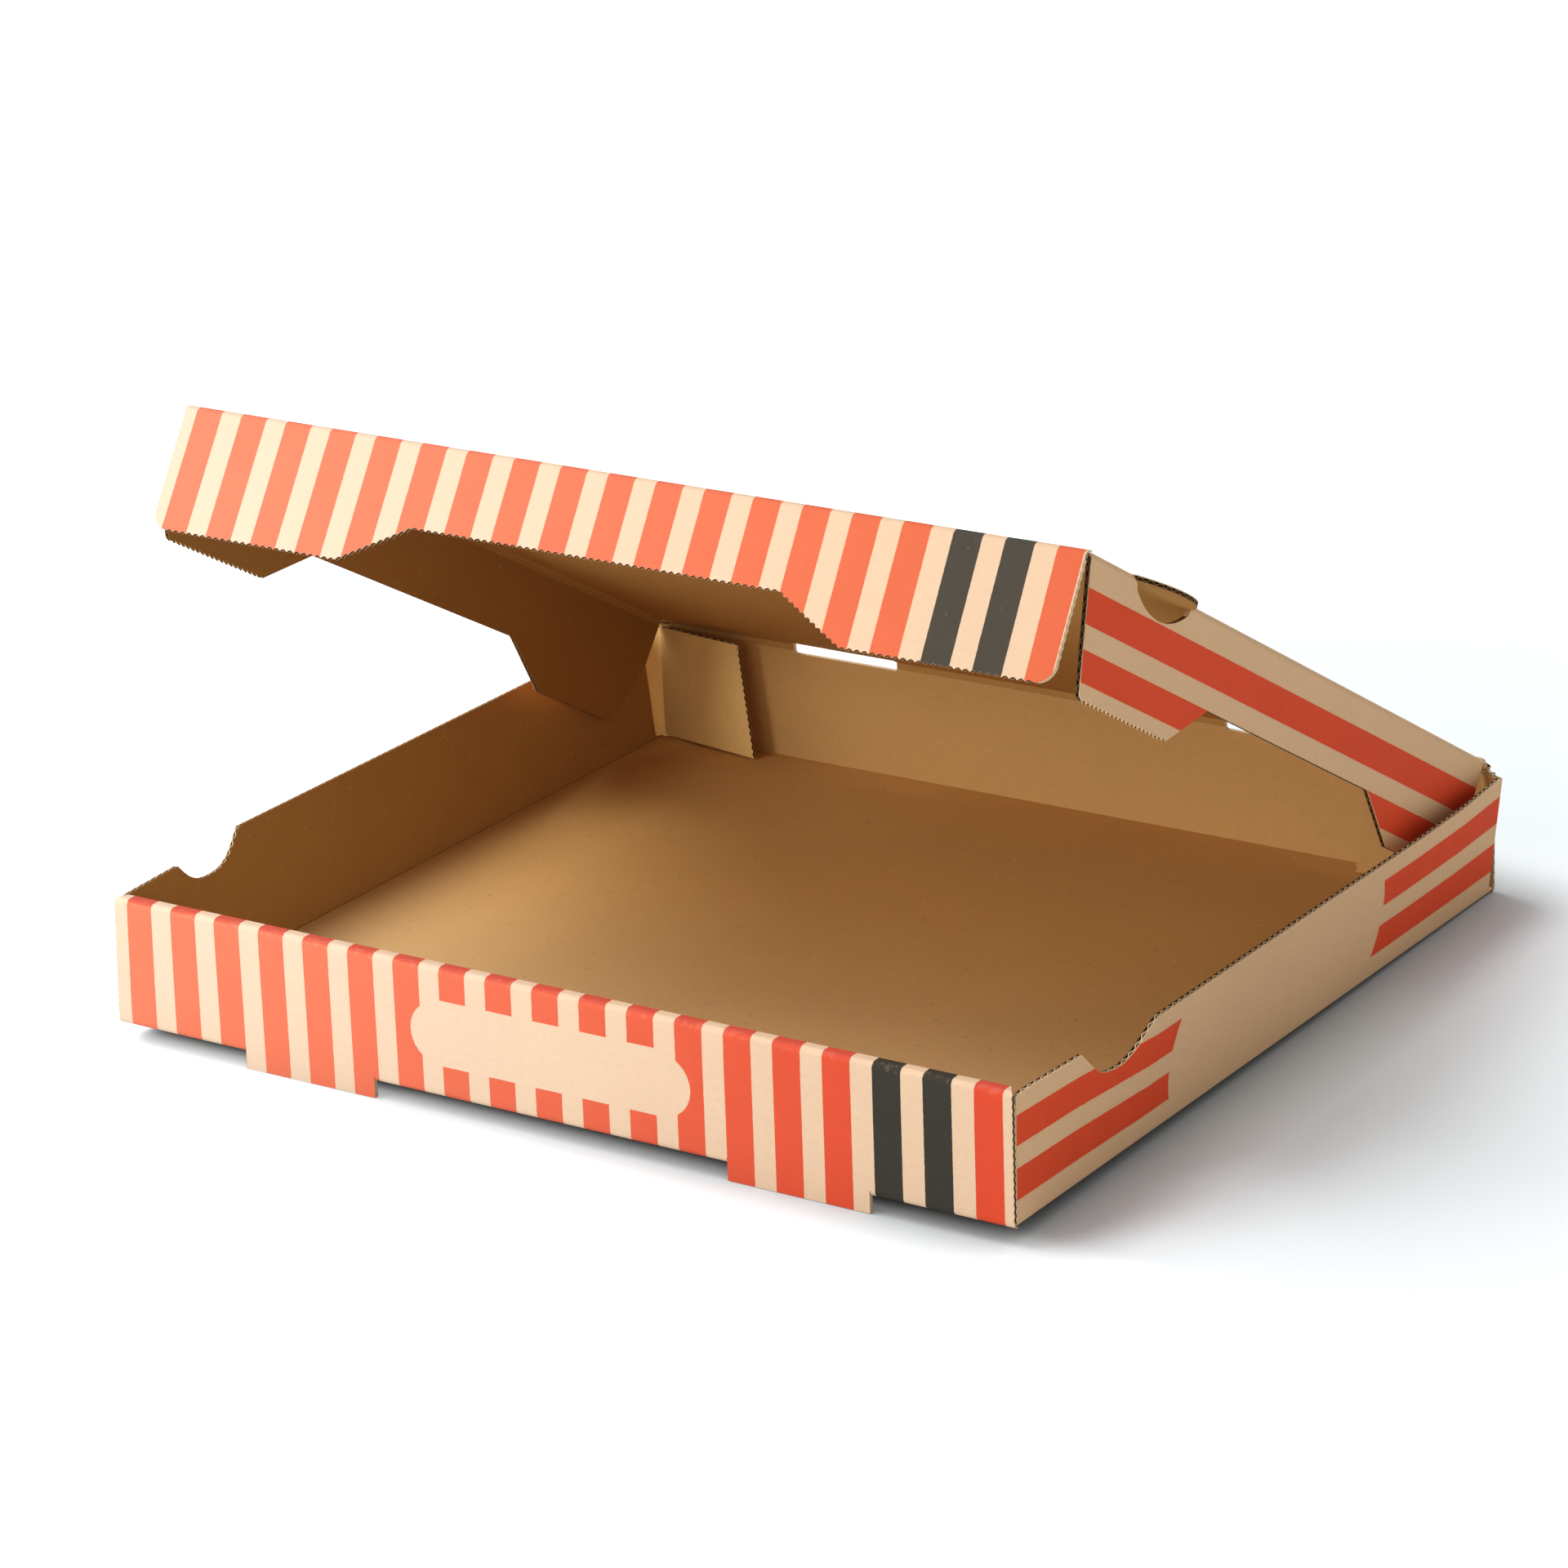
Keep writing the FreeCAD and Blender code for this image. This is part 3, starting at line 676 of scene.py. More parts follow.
def signed_area(points):
    """An outline's area, negative where it runs clockwise."""
    total = 0.0
    for index, point in enumerate(points):
        following = points[(index + 1) % len(points)]
        total += point[0] * following[1] - following[0] * point[1]
    return total / 2


def inset(points, depth_of):
    """The outline moved inwards by depth_of(kind) along each side."""
    count = len(points)
    places = np.array([point[:2] for point in points])
    ahead = np.roll(places, -1, axis=0) - places
    ahead = ahead / np.maximum(np.linalg.norm(ahead, axis=1, keepdims=True), 1e-9)
    inward = np.stack([-ahead[:, 1], ahead[:, 0]], axis=1)
    depth = np.array([depth_of(point[2]) for point in points])
    moved = []
    for index in range(count):
        one, two = inward[index - 1], inward[index]
        d_one, d_two = depth[index - 1], depth[index]
        cross = one[0] * two[1] - one[1] * two[0]
        if abs(cross) < 0.15:
            shift = (one + two) / 2 * max(d_one, d_two) if d_one == d_two else two * d_two
        else:
            shift = np.linalg.solve(np.array([one, two]), np.array([d_one, d_two]))
        moved.append(tuple(places[index] + shift))
    return moved


def mirrored(corners, last_kind="fold"):
    """The other half of an outline, in the same turn: each side keeps its kind of edge."""
    kinds = [last_kind] + [kind for _, _, kind in corners[:-1]]
    return [(-x, y, kind) for (x, y, _), kind in zip(reversed(corners), reversed(kinds))]


def cut_and_split(outline, splits_along, splits_across):
    """The outline filled and cut along ruled lines: points, triangles and rim edges."""
    mesh = bmesh.new()
    corners = [mesh.verts.new((x, y, 0.0)) for x, y in outline]
    mesh.faces.new(corners)
    for axis, places in ((0, splits_along), (1, splits_across)):
        for place in places:
            normal = (1.0, 0.0, 0.0) if axis == 0 else (0.0, 1.0, 0.0)
            spot = (place, 0.0, 0.0) if axis == 0 else (0.0, place, 0.0)
            everything = mesh.verts[:] + mesh.edges[:] + mesh.faces[:]
            bmesh.ops.bisect_plane(mesh, geom=everything, dist=1e-4, plane_co=spot, plane_no=normal)
    bmesh.ops.triangulate(mesh, faces=mesh.faces[:])
    mesh.verts.index_update()
    points = np.array([vert.co[:2] for vert in mesh.verts])
    triangles = [[vert.index for vert in face.verts] for face in mesh.faces]
    rim = [(edge.verts[0].index, edge.verts[1].index) for edge in mesh.edges if len(edge.link_faces) == 1]
    mesh.free()
    return points, triangles, rim


def rim_finishes(points, rim, outline, kinds, open_finish):
    """One finish for the rim along open flutes, and a cut edge's for the rest."""
    starts = np.array(outline)
    spans = np.roll(starts, -1, axis=0) - starts
    lengths = np.maximum((spans ** 2).sum(axis=1), 1e-12)
    finishes = []
    for one, two in rim:
        middle = (points[one] + points[two]) / 2
        share = np.clip(((middle - starts) * spans).sum(axis=1) / lengths, 0.0, 1.0)
        nearest = np.argmin(((starts + spans * share[:, None] - middle) ** 2).sum(axis=1))
        finishes.append(open_finish if kinds[nearest] == "flute" else 3)
    return finishes


def slab(points, triangles, rim, top, bottom, outer, inner, side):
    """A closed layer between two depths, as points, faces and each face's material."""
    count = len(points)
    upper = np.column_stack([points, np.full(count, top)])
    lower = np.column_stack([points, np.full(count, bottom)])
    faces = [list(face) for face in triangles]
    finishes = [outer] * len(triangles)
    faces += [[index + count for index in reversed(face)] for face in triangles]
    finishes += [inner] * len(triangles)
    faces += [[one, two, two + count, one + count] for one, two in rim]
    finishes += list(side)
    return np.vstack([upper, lower]), faces, finishes


def flute_tree():
    """Geometry Nodes: a fluted medium along a board's open edges."""
    tree = bpy.data.node_groups.new("fluted_medium", "GeometryNodeTree")
    tree.interface.new_socket(name="Geometry", in_out="INPUT", socket_type="NodeSocketGeometry")
    for label, default in (("Pitch", FLUTE_PITCH), ("Height", BOARD - 2 * LINER), ("Depth", FLUTE_DEPTH)):
        socket = tree.interface.new_socket(name=label, in_out="INPUT", socket_type="NodeSocketFloat")
        socket.default_value = default
    tree.interface.new_socket(name="Finish", in_out="INPUT", socket_type="NodeSocketMaterial")
    tree.interface.new_socket(name="Geometry", in_out="OUTPUT", socket_type="NodeSocketGeometry")
    start = tree.nodes.new("NodeGroupInput")
    end = tree.nodes.new("NodeGroupOutput")
    path = put(tree, "GeometryNodeMeshToCurve", None, Mesh=start.outputs["Geometry"])
    step = calc(tree, "DIVIDE", start.outputs["Pitch"], 8.0)
    even = put(tree, "GeometryNodeResampleCurve", {"mode": "LENGTH"}, Curve=path.outputs["Curve"],
               Length=step)
    along = tree.nodes.new("GeometryNodeSplineParameter").outputs["Length"]
    turn = times(tree, calc(tree, "DIVIDE", along, start.outputs["Pitch"]), 2.0 * math.pi)
    reach = times(tree, start.outputs["Height"], 0.40)
    lift = times(tree, calc(tree, "SINE", turn), reach)
    offset = put(tree, "ShaderNodeCombineXYZ", None, Z=lift)
    waved = put(tree, "GeometryNodeSetPosition", None, Geometry=even.outputs["Curve"],
                Offset=offset.outputs["Vector"])
    line = put(tree, "GeometryNodeCurveToMesh", None, Curve=waved.outputs["Geometry"])
    inward = put(tree, "GeometryNodeInputNamedAttribute", {"data_type": "FLOAT_VECTOR"}, Name="inward")
    deep = scaled(tree, inward.outputs["Attribute"], start.outputs["Depth"])
    ribbon = put(tree, "GeometryNodeExtrudeMesh", {"mode": "EDGES"}, Mesh=line.outputs["Mesh"],
                 Offset=deep, Offset_Scale=1.0)
    real = put(tree, "GeometryNodeRealizeInstances", None, Geometry=ribbon.outputs["Mesh"])
    finished = put(tree, "GeometryNodeSetMaterial", None, Geometry=real.outputs["Geometry"],
                   Material=start.outputs["Finish"])
    tree.links.new(finished.outputs["Geometry"], end.inputs["Geometry"])
    return tree


flute_nodes = flute_tree()


def flutes_along(chains):
    """The medium along chains of (point, inward) pairs, as flat points and faces."""
    mesh = bpy.data.meshes.new("flute_paths")
    points, edges, inwards = [], [], []
    for chain in chains:
        first = len(points)
        for place, inward in chain:
            points.append((place[0], place[1], BOARD / 2))
            inwards.append((inward[0], inward[1], 0.0))
        edges += [(index, index + 1) for index in range(first, len(points) - 1)]
    mesh.from_pydata(points, edges, [])
    attribute = mesh.attributes.new("inward", "FLOAT_VECTOR", "POINT")
    attribute.data.foreach_set("vector", np.array(inwards, np.float32).ravel())
    maker = add_object("flute_maker", mesh)
    flutes = maker.modifiers.new("flutes", "NODES")
    flutes.node_group = flute_nodes
    for item in flute_nodes.interface.items_tree:
        if item.in_out == "INPUT" and item.name == "Finish":
            flutes[item.identifier] = cut_paper
    wall = maker.modifiers.new("thickness", "SOLIDIFY")
    wall.thickness = MEDIUM
    wall.offset = 0.0
    bpy.context.view_layer.update()
    evaluated = maker.evaluated_get(bpy.context.evaluated_depsgraph_get())
    made = bpy.data.meshes.new_from_object(evaluated)
    places = np.array([vert.co[:] for vert in made.vertices]).reshape(-1, 3)
    faces = [list(face.vertices) for face in made.polygons]
    bpy.data.objects.remove(maker)
    bpy.data.meshes.remove(made)
    return places, faces


def open_chains(points):
    """Runs of flute sides of an outline, each a list of (point, inward) pairs."""
    count = len(points)
    chains, chain = [], []
    for index in range(count):
        if points[index][2] == "flute":
            here = np.array(points[index][:2])
            there = np.array(points[(index + 1) % count][:2])
            ahead = (there - here) / max(np.linalg.norm(there - here), 1e-9)
            inward = (-ahead[1], ahead[0])
            if not chain:
                chain.append((here, inward))
            chain.append((there, inward))
        elif chain:
            chains.append(chain)
            chain = []
    if chain:
        chains.append(chain)
    return chains


def ruled(low, high, step):
    """Even places strictly between two ends."""
    count = max(1, round((high - low) / step))
    return [low + (high - low) * index / count for index in range(1, count)]


def board_sheet(name, corners, place, outer, step=(12.0, 12.0), extra_along=(), extra_across=(), inner=None,
                medium=3):
    """One sheet of corrugated board, folded into the frame by place(along, across, depth)."""
    if signed_area(corners) < 0:
        turned = [(x, y) for x, y, kind in corners][::-1]
        kinds = [kind for x, y, kind in corners][::-1]
        kinds = kinds[1:] + kinds[:1]
        corners = [(x, y, kind) for (x, y), kind in zip(turned, kinds)]
    outline = flat_outline(corners)
    whole = [point[:2] for point in outline]
    depths = {"fold": 0.0, "flute": FLUTE_DEPTH, "wave": 0.5, "nick": 0.5, "crush": 0.0}
    held = inset(outline, lambda kind: depths[kind])
    lows = np.min(np.array(whole), axis=0)
    highs = np.max(np.array(whole), axis=0)
    along = sorted(ruled(lows[0], highs[0], step[0]) + list(extra_along))
    across = sorted(ruled(lows[1], highs[1], step[1]) + list(extra_across))
    points, triangles, rim = cut_and_split(whole, along, across)
    core_points, core_triangles, core_rim = cut_and_split(held, along, across)
    kinds = [point[2] for point in outline]
    layers = [
        slab(points, triangles, rim, 0.0, LINER, 0, 2, [3] * len(rim)),
        slab(core_points, core_triangles, core_rim, LINER, BOARD - LINER, 2, 2,
             rim_finishes(core_points, core_rim, held, kinds, 2)),
        slab(points, triangles, rim, BOARD - LINER, BOARD, 2, 1, rim_finishes(points, rim, whole, kinds, 4)),
    ]
    chains = open_chains(outline)
    if chains:
        places, faces = flutes_along(chains)
        layers.append((places, faces, [medium] * len(faces)))
    flat = np.vstack([layer[0] for layer in layers])
    faces, finishes, first = [], [], 0
    for places, layer_faces, layer_finishes in layers:
        faces += [[index + first for index in face] for face in layer_faces]
        finishes += layer_finishes
        first += len(places)
    folded = place(flat[:, 0], flat[:, 1], flat[:, 2])
    mesh = bpy.data.meshes.new(name)
    mesh.from_pydata((np.column_stack(folded) * MM).tolist(), [], faces)
    for material in (outer, inner or inside_paper, core_shade_paper, cut_paper, flute_shade_paper):
        mesh.materials.append(material)
    mesh.polygons.foreach_set("material_index", np.array(finishes, np.int32))
    layer = mesh.uv_layers.new(name="flat")
    loops = np.zeros(len(mesh.loops), np.int32)
    mesh.loops.foreach_get("vertex_index", loops)
    layer.data.foreach_set("uv", (flat[loops, :2] * 0.01).astype(np.float32).ravel())
    tidy = bmesh.new()
    tidy.from_mesh(mesh)
    bmesh.ops.recalc_face_normals(tidy, faces=tidy.faces[:])
    tidy.to_mesh(mesh)
    tidy.free()
    mesh.shade_smooth()
    mesh.set_sharp_from_angle(angle=SMOOTH_BELOW)
    piece = add_object(name, mesh)
    return piece


def fold_path(start, moves):
    """A rolled sheet's outer line: moves are ("run", length) and ("turn", radius, degrees)."""
    place = np.array(start[:2], float)
    heading = math.radians(start[2])
    lengths, places, headings = [0.0], [place.copy()], [heading]
    for move in moves:
        if move[0] == "run":
            place = place + move[1] * np.array([math.cos(heading), math.sin(heading)])
            lengths.append(lengths[-1] + move[1])
            places.append(place.copy())
            headings.append(heading)
            continue
        radius, turn = move[1], math.radians(move[2])
        for _ in range(ARC_STEPS):
            middle = heading + turn / ARC_STEPS / 2
            chord = 2 * radius * math.sin(abs(turn) / ARC_STEPS / 2)
            place = place + chord * np.array([math.cos(middle), math.sin(middle)])
            heading += turn / ARC_STEPS
            lengths.append(lengths[-1] + radius * abs(turn) / ARC_STEPS)
            places.append(place.copy())
            headings.append(heading)
    return np.array(lengths), np.array(places), np.array(headings)


def on_path(path, length, depth, side):
    """Points at a length along a path and a depth to one side of it (1 left, -1 right)."""
    lengths, places, headings = path
    heading = np.interp(length, lengths, headings)
    before = np.minimum(length - lengths[0], 0.0)
    after = np.maximum(length - lengths[-1], 0.0)
    x = np.interp(length, lengths, places[:, 0]) + (before + after) * np.cos(heading)
    y = np.interp(length, lengths, places[:, 1]) + (before + after) * np.sin(heading)
    return x - side * depth * np.sin(heading), y + side * depth * np.cos(heading)


def path_splits(path):
    """The places along a path where a sheet needs a ruled line to follow its turns."""
    lengths, places, headings = path
    bent = np.abs(np.diff(headings)) > 1e-6
    marks = set()
    for index in np.nonzero(bent)[0]:
        marks.add(round(float(lengths[index]), 4))
        marks.add(round(float(lengths[index + 1]), 4))
    return sorted(marks)


STRAIGHT_RISE = FRONT_RISE - FOLD_ROUND
STRIP_LOW = 42.2
LOCK_TAB_CLEAR = 0.8
front_path = fold_path((FRONT, UNDERSIDE, 90.0), [
    ("run", STRAIGHT_RISE),
    ("turn", FOLD_ROUND, -90.0),
    ("run", TOP_BAND - 2 * FOLD_ROUND),
    ("turn", FOLD_ROUND, -90.0),
    ("run", FRONT_RISE - FOLD_ROUND - BOARD),
])
INNER_FOOT = float(front_path[0][-1])
FRONT_FOLD_START = FOLD_ROUND - QUARTER
LEFT_FLARE = 1.3


def place_front(along, across, depth):
    """The front wall: its feet, its outer panel, the rolled band and the inner panel."""
    y, z = on_path(front_path, across, depth, -1)
    foot = (np.abs(along) >= FOOT_LOW_X) & (np.abs(along) <= FOOT_HIGH_X)
    bent = ~foot & (across < FOLD_ROUND)
    turn = (FOLD_ROUND - across) / FOLD_ROUND
    radius = FOLD_ROUND - depth
    bent_y = FRONT + FOLD_ROUND - radius * np.cos(turn)
    bent_z = UNDERSIDE + FOLD_ROUND - radius * np.sin(turn)
    ripple = 0.19 + 0.10 * np.sin(along * 0.83) + 0.08 * np.sin(along * 1.9 + 1.0)
    near_band = np.exp(-((across - STRAIGHT_RISE - 1.4) / 1.6) ** 2)
    y = y + ripple * near_band
    flare = np.clip((-along - 115.0) / 50.0, 0.0, 1.0) ** 1.5 * np.clip((40.0 - across) / 34.0, 0.0, 1.0)
    return along - LEFT_FLARE * flare, np.where(bent, bent_y, y), np.where(bent, bent_z, z)


def front_corners():
    """The outline of the front wall, with slits where its feet leave the floor."""
    band = HALF_WIDTH - BAND_INSET
    low = FRONT_FOLD_START
    right = [
        (HALF_WIDTH, low, "nick"),
        (HALF_WIDTH, STRIP_LOW, "fold"),
        (band + 0.5, STRIP_LOW + 4.6, "fold"),
        (band, STRIP_LOW + 5.4, "flute"),
        (band, INNER_FOOT, "fold"),
        (FOOT_HIGH_X - LOCK_TAB_CLEAR, INNER_FOOT, "fold"),
        (FOOT_HIGH_X - LOCK_TAB_CLEAR, INNER_FOOT + BOARD, "fold"),
        (FOOT_LOW_X + LOCK_TAB_CLEAR, INNER_FOOT + BOARD, "fold"),
        (FOOT_LOW_X + LOCK_TAB_CLEAR, INNER_FOOT, "fold"),
    ]
    bottom = []
    for near, far in ((-FOOT_HIGH_X, -FOOT_LOW_X), (FOOT_LOW_X, FOOT_HIGH_X)):
        bottom += [
            (near - SLIT, low, "fold"),
            (near - SLIT, FOLD_ROUND, "fold"),
            (near, FOLD_ROUND, "fold"),
            (near, -FOOT_DROP, "fold"),
            (far, -FOOT_DROP, "fold"),
            (far, FOLD_ROUND, "fold"),
            (far + SLIT, FOLD_ROUND, "fold"),
            (far + SLIT, low, "fold"),
        ]
    return right + mirrored(right) + bottom


front_marks = path_splits(front_path) + [FOLD_ROUND - QUARTER * index / 6 for index in range(7)]
front_wall = board_sheet("front_wall", front_corners(), place_front, front_wall_paper,
                         step=(6.0, 8.0), extra_across=front_marks)


def place_floor(along, across, depth):
    return along, across, UNDERSIDE + depth


SLOT_EDGE = FRONT + SLOT_BACK
FLOOR_FRONT = FRONT + FOLD_ROUND
FLOOR_BACK = BACK - FOLD_ROUND
FLOOR_SIDE = HALF_WIDTH - FOLD_ROUND
floor_corners = [(-FLOOR_SIDE, FLOOR_FRONT, "fold")]
for near, far in ((-FOOT_HIGH_X, -FOOT_LOW_X), (FOOT_LOW_X, FOOT_HIGH_X)):
    floor_corners += [
        (near, FLOOR_FRONT, "fold"),
        (near, SLOT_EDGE, "fold"),
        (far, SLOT_EDGE, "fold"),
        (far, FLOOR_FRONT, "fold"),
    ]
floor_corners += [
    (FLOOR_SIDE, FLOOR_FRONT, "fold"),
    (FLOOR_SIDE, FLOOR_BACK, "fold"),
    (-FLOOR_SIDE, FLOOR_BACK, "fold"),
]
floor = board_sheet("floor", floor_corners, place_floor, outside_paper, step=(30.0, 30.0), inner=floor_lit_paper)


NOTCH_START = 36.0
NOTCH_END = 73.0
NOTCHES = {
    1: ((36.0, 42.0), (39.0, 38.9), (43.3, 34.8), (45.2, 33.4), (47.4, 32.4), (50.6, 31.8), (53.5, 31.6),
        (56.4, 31.7), (59.6, 32.6), (62.0, 33.7), (64.2, 35.0), (69.0, 39.2), (71.2, 41.0), (73.0, 42.0)),
    -1: ((33.5, 42.0), (36.0, 39.4), (39.0, 36.8), (42.5, 34.8), (46.0, 33.6), (50.0, 33.0), (54.0, 32.9),
         (57.5, 33.2), (60.5, 34.1), (63.5, 35.5), (67.0, 37.9), (70.0, 40.5), (72.0, 42.0)),
}
WALL_REAR = {-1: 146.0, 1: 150.0}
LEAN_PLACES = (FRONT + BOARD, FRONT + NOTCH_START, FRONT + NOTCH_END, 85.0, 120.0, BACK - BOARD)
LEANS = {1: (0.5, 2.4, 7.2, 7.7, 7.0, 4.6), -1: (0.5, 2.4, 7.5, 6.2, 5.4, 4.6)}
WALL_STRAIGHT = SIDE_RISE - FOLD_ROUND
WALL_TOP = QUARTER + WALL_STRAIGHT


def wall_point(side, along, across, depth):
    """How far out and how high a side wall's point is, with the wall's lean at that place."""
    lean = np.interp(along, LEAN_PLACES, LEANS[side])
    angle = np.arctan(lean / WALL_STRAIGHT)
    turn = np.clip(across / QUARTER, -0.3, 1.0) * (math.pi / 2 - angle)
    radius = FOLD_ROUND - depth
    out = FLOOR_SIDE + radius * np.sin(turn)
    up = UNDERSIDE + FOLD_ROUND - radius * np.cos(turn)
    run = np.maximum(across - QUARTER, 0.0)
    run = run * (WALL_STRAIGHT + FOLD_ROUND * np.sin(angle)) / WALL_STRAIGHT
    return out + run * np.tan(angle), up + run


def place_wall(side):
    def place(along, across, depth):
        out, up = wall_point(side, along, across, depth)
        return side * out, along, up
    return place


def rounded(before, corner, after, radius, kind, steps=6):
    """Points of a rounded corner of an outline."""
    before, corner, after = (np.array(point, float) for point in (before, corner, after))
    one = (before - corner) / np.linalg.norm(before - corner)
    two = (after - corner) / np.linalg.norm(after - corner)
    half = math.acos(float(np.clip(one @ two, -1.0, 1.0))) / 2
    reach = radius / math.tan(half)
    middle = (one + two) / np.linalg.norm(one + two)
    centre = corner + middle * radius / math.sin(half)
    start = corner + one * reach - centre
    end = corner + two * reach - centre
    sweep = math.atan2(start[0] * end[1] - start[1] * end[0], float(start @ end))
    angle = math.atan2(start[1], start[0])
    points = []
    for index in range(steps + 1):
        turned = angle + sweep * index / steps
        points.append((centre[0] + radius * math.cos(turned), centre[1] + radius * math.sin(turned), kind))
    return points


def wall_corners(side):
    """A side wall from the floor's edge to its top, with the notch in its top."""
    front = FRONT + BOARD
    rear = WALL_REAR[side]
    corners = [(BACK - BOARD, 0.0, "fold"), (BACK - BOARD, 2.8, "fold"), (rear, 4.4, "fold")]
    corners += [(rear, WALL_TOP, "flute")]
    for place, rise in reversed(NOTCHES[side]):
        corners.append((FRONT + place, WALL_TOP - SIDE_RISE + rise, "flute"))
    corners += [(front + 5.0, WALL_TOP, "flute"), (front, WALL_TOP - 0.6, "fold"), (front, 0.0, "fold")]
    return corners


wall_marks = [QUARTER * index / 6 for index in range(1, 7)]
walls = {}
for side, name in ((-1, "left_wall"), (1, "right_wall")):
    walls[side] = board_sheet(name, wall_corners(side), place_wall(side), side_wall_paper,
                              step=(8.0, 10.0), extra_across=wall_marks, inner=wall_paper)


HINGE_WALL_TOP = 47.0
back_path = fold_path((FLOOR_BACK, UNDERSIDE, 0.0), [
    ("turn", FOLD_ROUND, 90.0),
    ("run", HINGE_WALL_TOP - UNDERSIDE - FOLD_ROUND),
])
BACK_TOP = float(back_path[0][-1])


def place_back(along, across, depth):
    y, z = on_path(back_path, across, depth, 1)
    return along, y, z


RELIEF_NEAR = 86.2 - 21.25
RELIEF_FAR = 86.2 + 21.25
RELIEF_DEEP = 0.9


def relief(near, far):
    """The lower end of a slot in the hinge, with rounded corners, from far to near."""
    low = BACK_TOP - RELIEF_DEEP
    points = [(far, BACK_TOP, "fold")]
    points += rounded((far, BACK_TOP), (far, low), (near, low), RELIEF_DEEP * 0.95, "fold", 5)
    points += rounded((far, low), (near, low), (near, BACK_TOP), RELIEF_DEEP * 0.95, "fold", 5)
    return points + [(near, BACK_TOP, "fold")]


back_corners = [(-HALF_WIDTH, 0.0, "fold"), (HALF_WIDTH, 0.0, "flute"), (HALF_WIDTH, BACK_TOP, "fold")]
back_corners += relief(RELIEF_NEAR, RELIEF_FAR)
back_corners += relief(-RELIEF_FAR, -RELIEF_NEAR)
back_corners += [(-HALF_WIDTH, BACK_TOP, "flute")]
back_wall = board_sheet("back_wall", back_corners, place_back, outside_paper, step=(14.0, 8.0),
                        extra_across=path_splits(back_path), inner=back_lit_paper)


LID_COS = math.cos(LID_ANGLE)
LID_SIN = math.sin(LID_ANGLE)


def lid_frame(across, along, height):
    """A point given across the lid, along it from its fold, and above its middle plane."""
    y = HINGE_Y - along * LID_COS + height * LID_SIN
    z = HINGE_Z + along * LID_SIN + height * LID_COS
    return across, y, z


def place_lid(along, across, depth):
    return lid_frame(along, across, BOARD / 2 - depth)


MOON_CENTRE = 244.8
MOON_HALF = 19.4
MOON_REACH = 7.5
MOON_RADIUS = (MOON_HALF ** 2 + MOON_REACH ** 2) / (2 * MOON_REACH)
LID_REAR = 3.2
LID_FRONT = LID_LENGTH - 2.6
FLAP_REAR = 7.0
LID_SIDE = 160.4


def moon_edge(steps=24):
    """The right half-moon's round edge, from its rear end to its front end."""
    spread = math.asin(MOON_HALF / MOON_RADIUS)
    points = []
    for index in range(steps + 1):
        angle = -spread + 2 * spread * index / steps
        out = LID_HALF + MOON_REACH - MOON_RADIUS + MOON_RADIUS * math.cos(angle)
        kind = "flute" if index < steps else "fold"
        points.append((out, MOON_CENTRE + MOON_RADIUS * math.sin(angle), kind))
    return points


def lid_corners():
    """The top panel, narrower where its side creases start and wider at its half-moons."""
    right = [
        (LID_HALF, LID_REAR, "fold"),
        (LID_HALF, FLAP_REAR, "fold"),
        (LID_SIDE, FLAP_REAR + 0.1, "fold"),
        (LID_SIDE, MOON_CENTRE - MOON_HALF - 0.1, "fold"),
    ]
    right += moon_edge()
    right += [
        (LID_SIDE, MOON_CENTRE + MOON_HALF + 0.1, "fold"),
        (LID_SIDE, LID_FRONT, "fold"),
    ]
    return right + mirrored(right)


lid = board_sheet("lid_panel", lid_corners(), place_lid, outside_paper, step=(16.0, 16.0), medium=4)


FRONT_FLAP_DROP = 40.0
FRONT_FLAP_TAPER = 0.5
FRONT_FLAP_ROUND = 6.0
FRONT_RECESS_DROP = 26.5
FRONT_RECESS_HALF = 66.5
FRONT_RECESS_FOOT = 91.0
CREASE_DROP = 2.6
FRONT_FLAP_SWING = 1.7


def place_front_flap(along, across, depth):
    drop = np.maximum(across - CREASE_DROP, 0.0) / (FRONT_FLAP_DROP - CREASE_DROP)
    out = LID_LENGTH + BOARD / 2 - depth + FRONT_FLAP_SWING * drop
    return lid_frame(along * (1 + 0.004 * drop), out, -across)


def front_flap_corners():
    low = FRONT_FLAP_DROP
    narrow = LID_HALF - FRONT_FLAP_TAPER
    corners = [(LID_HALF, CREASE_DROP, "crush")]
    corners += rounded((LID_HALF, 0.0), (narrow, low), (0.0, low), FRONT_FLAP_ROUND, "fold", 8)
    corners[-1] = (corners[-1][0], corners[-1][1], "wave")
    corners += [
        (FRONT_RECESS_FOOT, low, "wave"),
        (FRONT_RECESS_HALF, FRONT_RECESS_DROP, "wave"),
        (-FRONT_RECESS_HALF, FRONT_RECESS_DROP, "wave"),
        (-FRONT_RECESS_FOOT, low, "wave"),
    ]
    corners += rounded((0.0, low), (-narrow, low), (-LID_HALF, 0.0), FRONT_FLAP_ROUND, "fold", 8)
    corners[-1] = (corners[-1][0], corners[-1][1], "crush")
    corners += [(-LID_HALF, CREASE_DROP, "fold")]
    return corners


front_flap = board_sheet("front_flap", front_flap_corners(), place_front_flap, front_flap_paper,
                         step=(14.0, 8.0))


SIDE_RECESS = 26.8
CREASE_FOOT = 3.2
MOON_CLEAR = 0.4


def place_side_flap(side):
    def place(along, across, depth):
        return lid_frame(side * (FLAP_FACE - depth), along, -across)
    return place


def gap_half(depth):
    """Half the length of a half-moon's gap in the side flap, at a depth below the lid's middle."""
    radius = MOON_RADIUS + MOON_CLEAR
    half = MOON_HALF + MOON_CLEAR
    deepest = 0.95 + radius - math.sqrt(radius ** 2 - half ** 2)
    return math.sqrt(max(radius ** 2 - (depth - deepest + radius) ** 2, 0.0))


